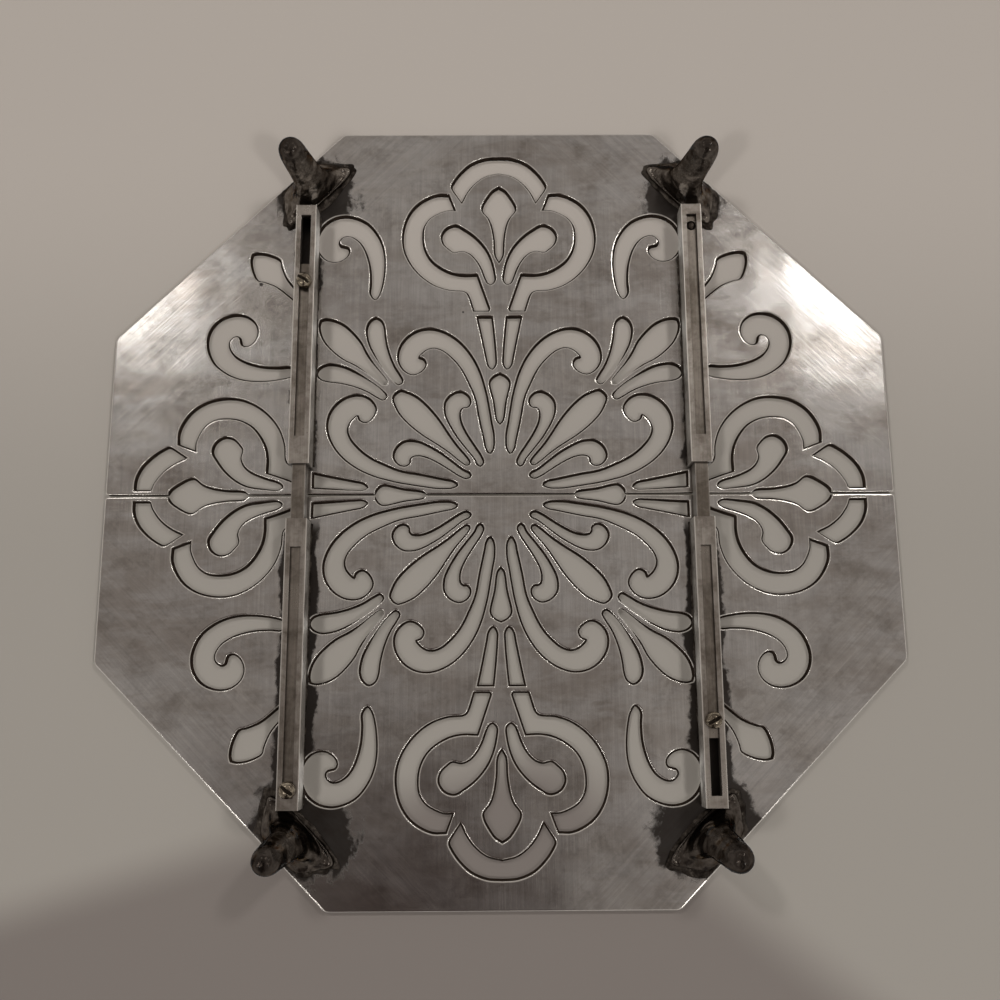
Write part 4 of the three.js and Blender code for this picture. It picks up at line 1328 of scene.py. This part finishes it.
# Stage: a table beyond the plate's top face that shows only from below, as in the photograph, and a
# floor under the feet that shows only from above
stage = {
    "table": 22.95,
    "floor": -0.02,
    "half": 20000,
    "tableFront": (169, 163, 157),  # screen colours; the fall from front to rear is painted light
    "tableRear": (149, 145, 139),
    "tableShade": (119, 113, 109),
    "floorTone": (211, 206, 200),
    # a soft shadow on the table inside two straight edges: a point on each edge, the way into the shadow,
    # and the half width of its soft border
    "shadeEdges": [((-138.0, 113.0), (0.27, 0.963), 8.0), ((84.0, 127.0), (-0.62, 0.785), 10.0)],
}


def tableTone(n, style):
    # Warm grey, paler to the front and darker to the rear as a painted fall of light,
    # and darker still in a painted shadow at the rear
    x, y, _ = n.split(n.node("ShaderNodeTexCoord").outputs["Object"])
    color = n.mix(n.step(y, -0.11, 0.02), srgb(*style["tableFront"]), srgb(*style["tableRear"]))
    shade = 1.0
    for (atX, atY), (wayX, wayY), soft in style["shadeEdges"]:
        along = n.math("ADD", n.math("MULTIPLY", x, wayX), n.math("MULTIPLY", y, wayY))
        inside = n.math("SUBTRACT", along, (atX * wayX + atY * wayY) * mm)
        shade = n.math("MULTIPLY", shade, n.step(inside, -soft * mm, soft * mm))
    return n.mix(shade, color, srgb(*style["tableShade"]))


def oneSided(name, tone):
    # Matt from its front, clear from its back.
    material = bpy.data.materials.new(name)
    material.use_nodes = True
    tree = material.node_tree
    tree.nodes.remove(tree.nodes["Principled BSDF"])
    n = Nodes(tree)
    matt = n.node("ShaderNodeBsdfDiffuse", Color=tone(n))
    clear = n.node("ShaderNodeBsdfTransparent")
    back = n.node("ShaderNodeNewGeometry").outputs["Backfacing"]
    mixed = n.node("ShaderNodeMixShader")
    tree.links.new(back, mixed.inputs[0])
    tree.links.new(matt.outputs[0], mixed.inputs[1])
    tree.links.new(clear.outputs[0], mixed.inputs[2])
    tree.links.new(mixed.outputs[0], tree.nodes["Material Output"].inputs["Surface"])
    return material


def makeSheet(name, z, facesUp, material):
    # One square that only the camera sees, and that lamps and the room light
    half = stage["half"]
    corners = [(-half, -half, z), (half, -half, z), (half, half, z), (-half, half, z)]
    mesh = bpy.data.meshes.new(name)
    order = [0, 1, 2, 3] if facesUp else [3, 2, 1, 0]
    mesh.from_pydata((np.array(corners) * mm).tolist(), [], [order])
    mesh.materials.append(material)
    sheet = bpy.data.objects.new(name, mesh)
    bpy.context.scene.collection.objects.link(sheet)
    sheet.visible_shadow = False
    sheet.visible_glossy = False
    sheet.visible_diffuse = False
    sheet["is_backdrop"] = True


makeSheet("tableTop", stage["table"], False, oneSided("paleTable", lambda n: tableTone(n, stage)))
makeSheet("floorSheet", stage["floor"], True, oneSided("paleFloor", lambda n: srgb(*stage["floorTone"])))

# Four small lamps in a square below, and a wide one above. Each is split in two, because worn plate mirrors
# less of a lamp than the matt table shows: one part lights gloss, the other matt surfaces
lamps = {
    # name: position, size, watts in gloss, watts on matt
    "frontLeft": ((-0.442, -0.439, -0.829), 0.13, 0.28, 2.3),
    "frontRight": ((0.446, -0.457, -0.829), 0.13, 0.75, 2.3),
    "rearLeft": ((-0.502, 0.447, -0.829), 0.13, 0.5, 2.3),
    "rearRight": ((0.442, 0.449, -0.829), 0.13, 0.55, 2.3),
    "upper": ((0.7, -0.6, 2.6), 3.2, 15, 15),
}
lampColor = (1.0, 0.975, 0.945)


def makeLamp(name, position, size, watts, inGloss, onMatt):
    # A round lamp that faces the object's middle
    data = bpy.data.lights.new(name, "AREA")
    data.shape = "DISK"
    data.size = size
    data.energy = watts
    data.color = lampColor
    lamp = bpy.data.objects.new(name, data)
    bpy.context.scene.collection.objects.link(lamp)
    lamp.location = position
    lamp.rotation_euler = (-Vector(position)).to_track_quat("-Z", "Y").to_euler()
    lamp.visible_camera = False
    lamp.visible_glossy = inGloss
    lamp.visible_diffuse = onMatt


room = {
    "light": (1.0, 0.92, 0.86, 1),
    "dark": (0.10, 0.058, 0.05, 1),
    "level": (2.3, 2.2, 2.1, 1),  # the brighter walls and windows at the object's own height
    "wall": (1.15, 1.09, 1.02, 1),  # above the object's own height, and then up to the bright ceiling
    "above": (2.6, 2.54, 2.45, 1),
    "seen": (1.73, 1.59, 1.42, 1),  # what the camera sees beyond the floor, near the floor's own tone
    "strength": 0.38,
    # heights of the direction between which one tone turns into the next
    "levelBand": (-0.42, -0.06),
    "horizonBand": (-0.04, 0.0),
    "ceilingBand": (0.14, 0.42),
    # a dark oval low in the room: its middle, its narrowing, its inner and outer edge, and its top
    "darkBand": (-0.2, 0.05),
    "darkMiddle": (-0.105, 0.275),
    "darkLength": (0.8, 0.2),
    "darkEdge": (0.16, 0.24),
}


def makeRoom(style):
    # A warm room: a pale lower part with a dark oval in it, brighter at the object's own height, then plain
    # walls and a bright ceiling. The tones turn into each other by smooth steps over the direction's height
    world = bpy.data.worlds.new("room")
    world.use_nodes = True
    n = Nodes(world.node_tree)
    x, y, z = n.split(n.node("ShaderNodeTexCoord").outputs["Generated"])
    middleX, middleY = style["darkMiddle"]
    offX = n.math("SUBTRACT", x, middleX)
    offY = n.math("SUBTRACT", y, middleY)
    # the oval is short on one side of its middle and long on the other
    offY = n.math("MULTIPLY", offY, n.step(offY, -0.01, 0.01, *style["darkLength"]))
    away = n.math("SQRT", n.math("ADD", n.math("MULTIPLY", offX, offX), n.math("MULTIPLY", offY, offY)))
    oval = n.step(away, *style["darkEdge"], 1.0, 0.0)
    oval = n.math("MULTIPLY", oval, n.step(z, *style["darkBand"], 1.0, 0.0))
    below = n.mix(n.step(z, *style["levelBand"]), style["light"], style["level"])
    below = n.mix(oval, below, style["dark"])
    background = world.node_tree.nodes["Background"]
    above = n.mix(n.step(z, *style["ceilingBand"]), style["wall"], style["above"])
    around = n.mix(n.step(z, *style["horizonBand"]), below, above)
    seen = n.node("ShaderNodeLightPath").outputs["Is Camera Ray"]
    n.feed(background.inputs["Color"], n.mix(seen, around, style["seen"]))
    background.inputs["Strength"].default_value = style["strength"]
    bpy.context.scene.world = world


for name, (position, size, glossWatts, mattWatts) in lamps.items():
    makeLamp(name + "Gloss", position, size, glossWatts, True, False)
    makeLamp(name + "Matt", position, size, mattWatts, False, True)
makeRoom(room)
bpy.context.scene.view_settings.view_transform = "Standard"
print("stage and lamps set")

low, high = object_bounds()
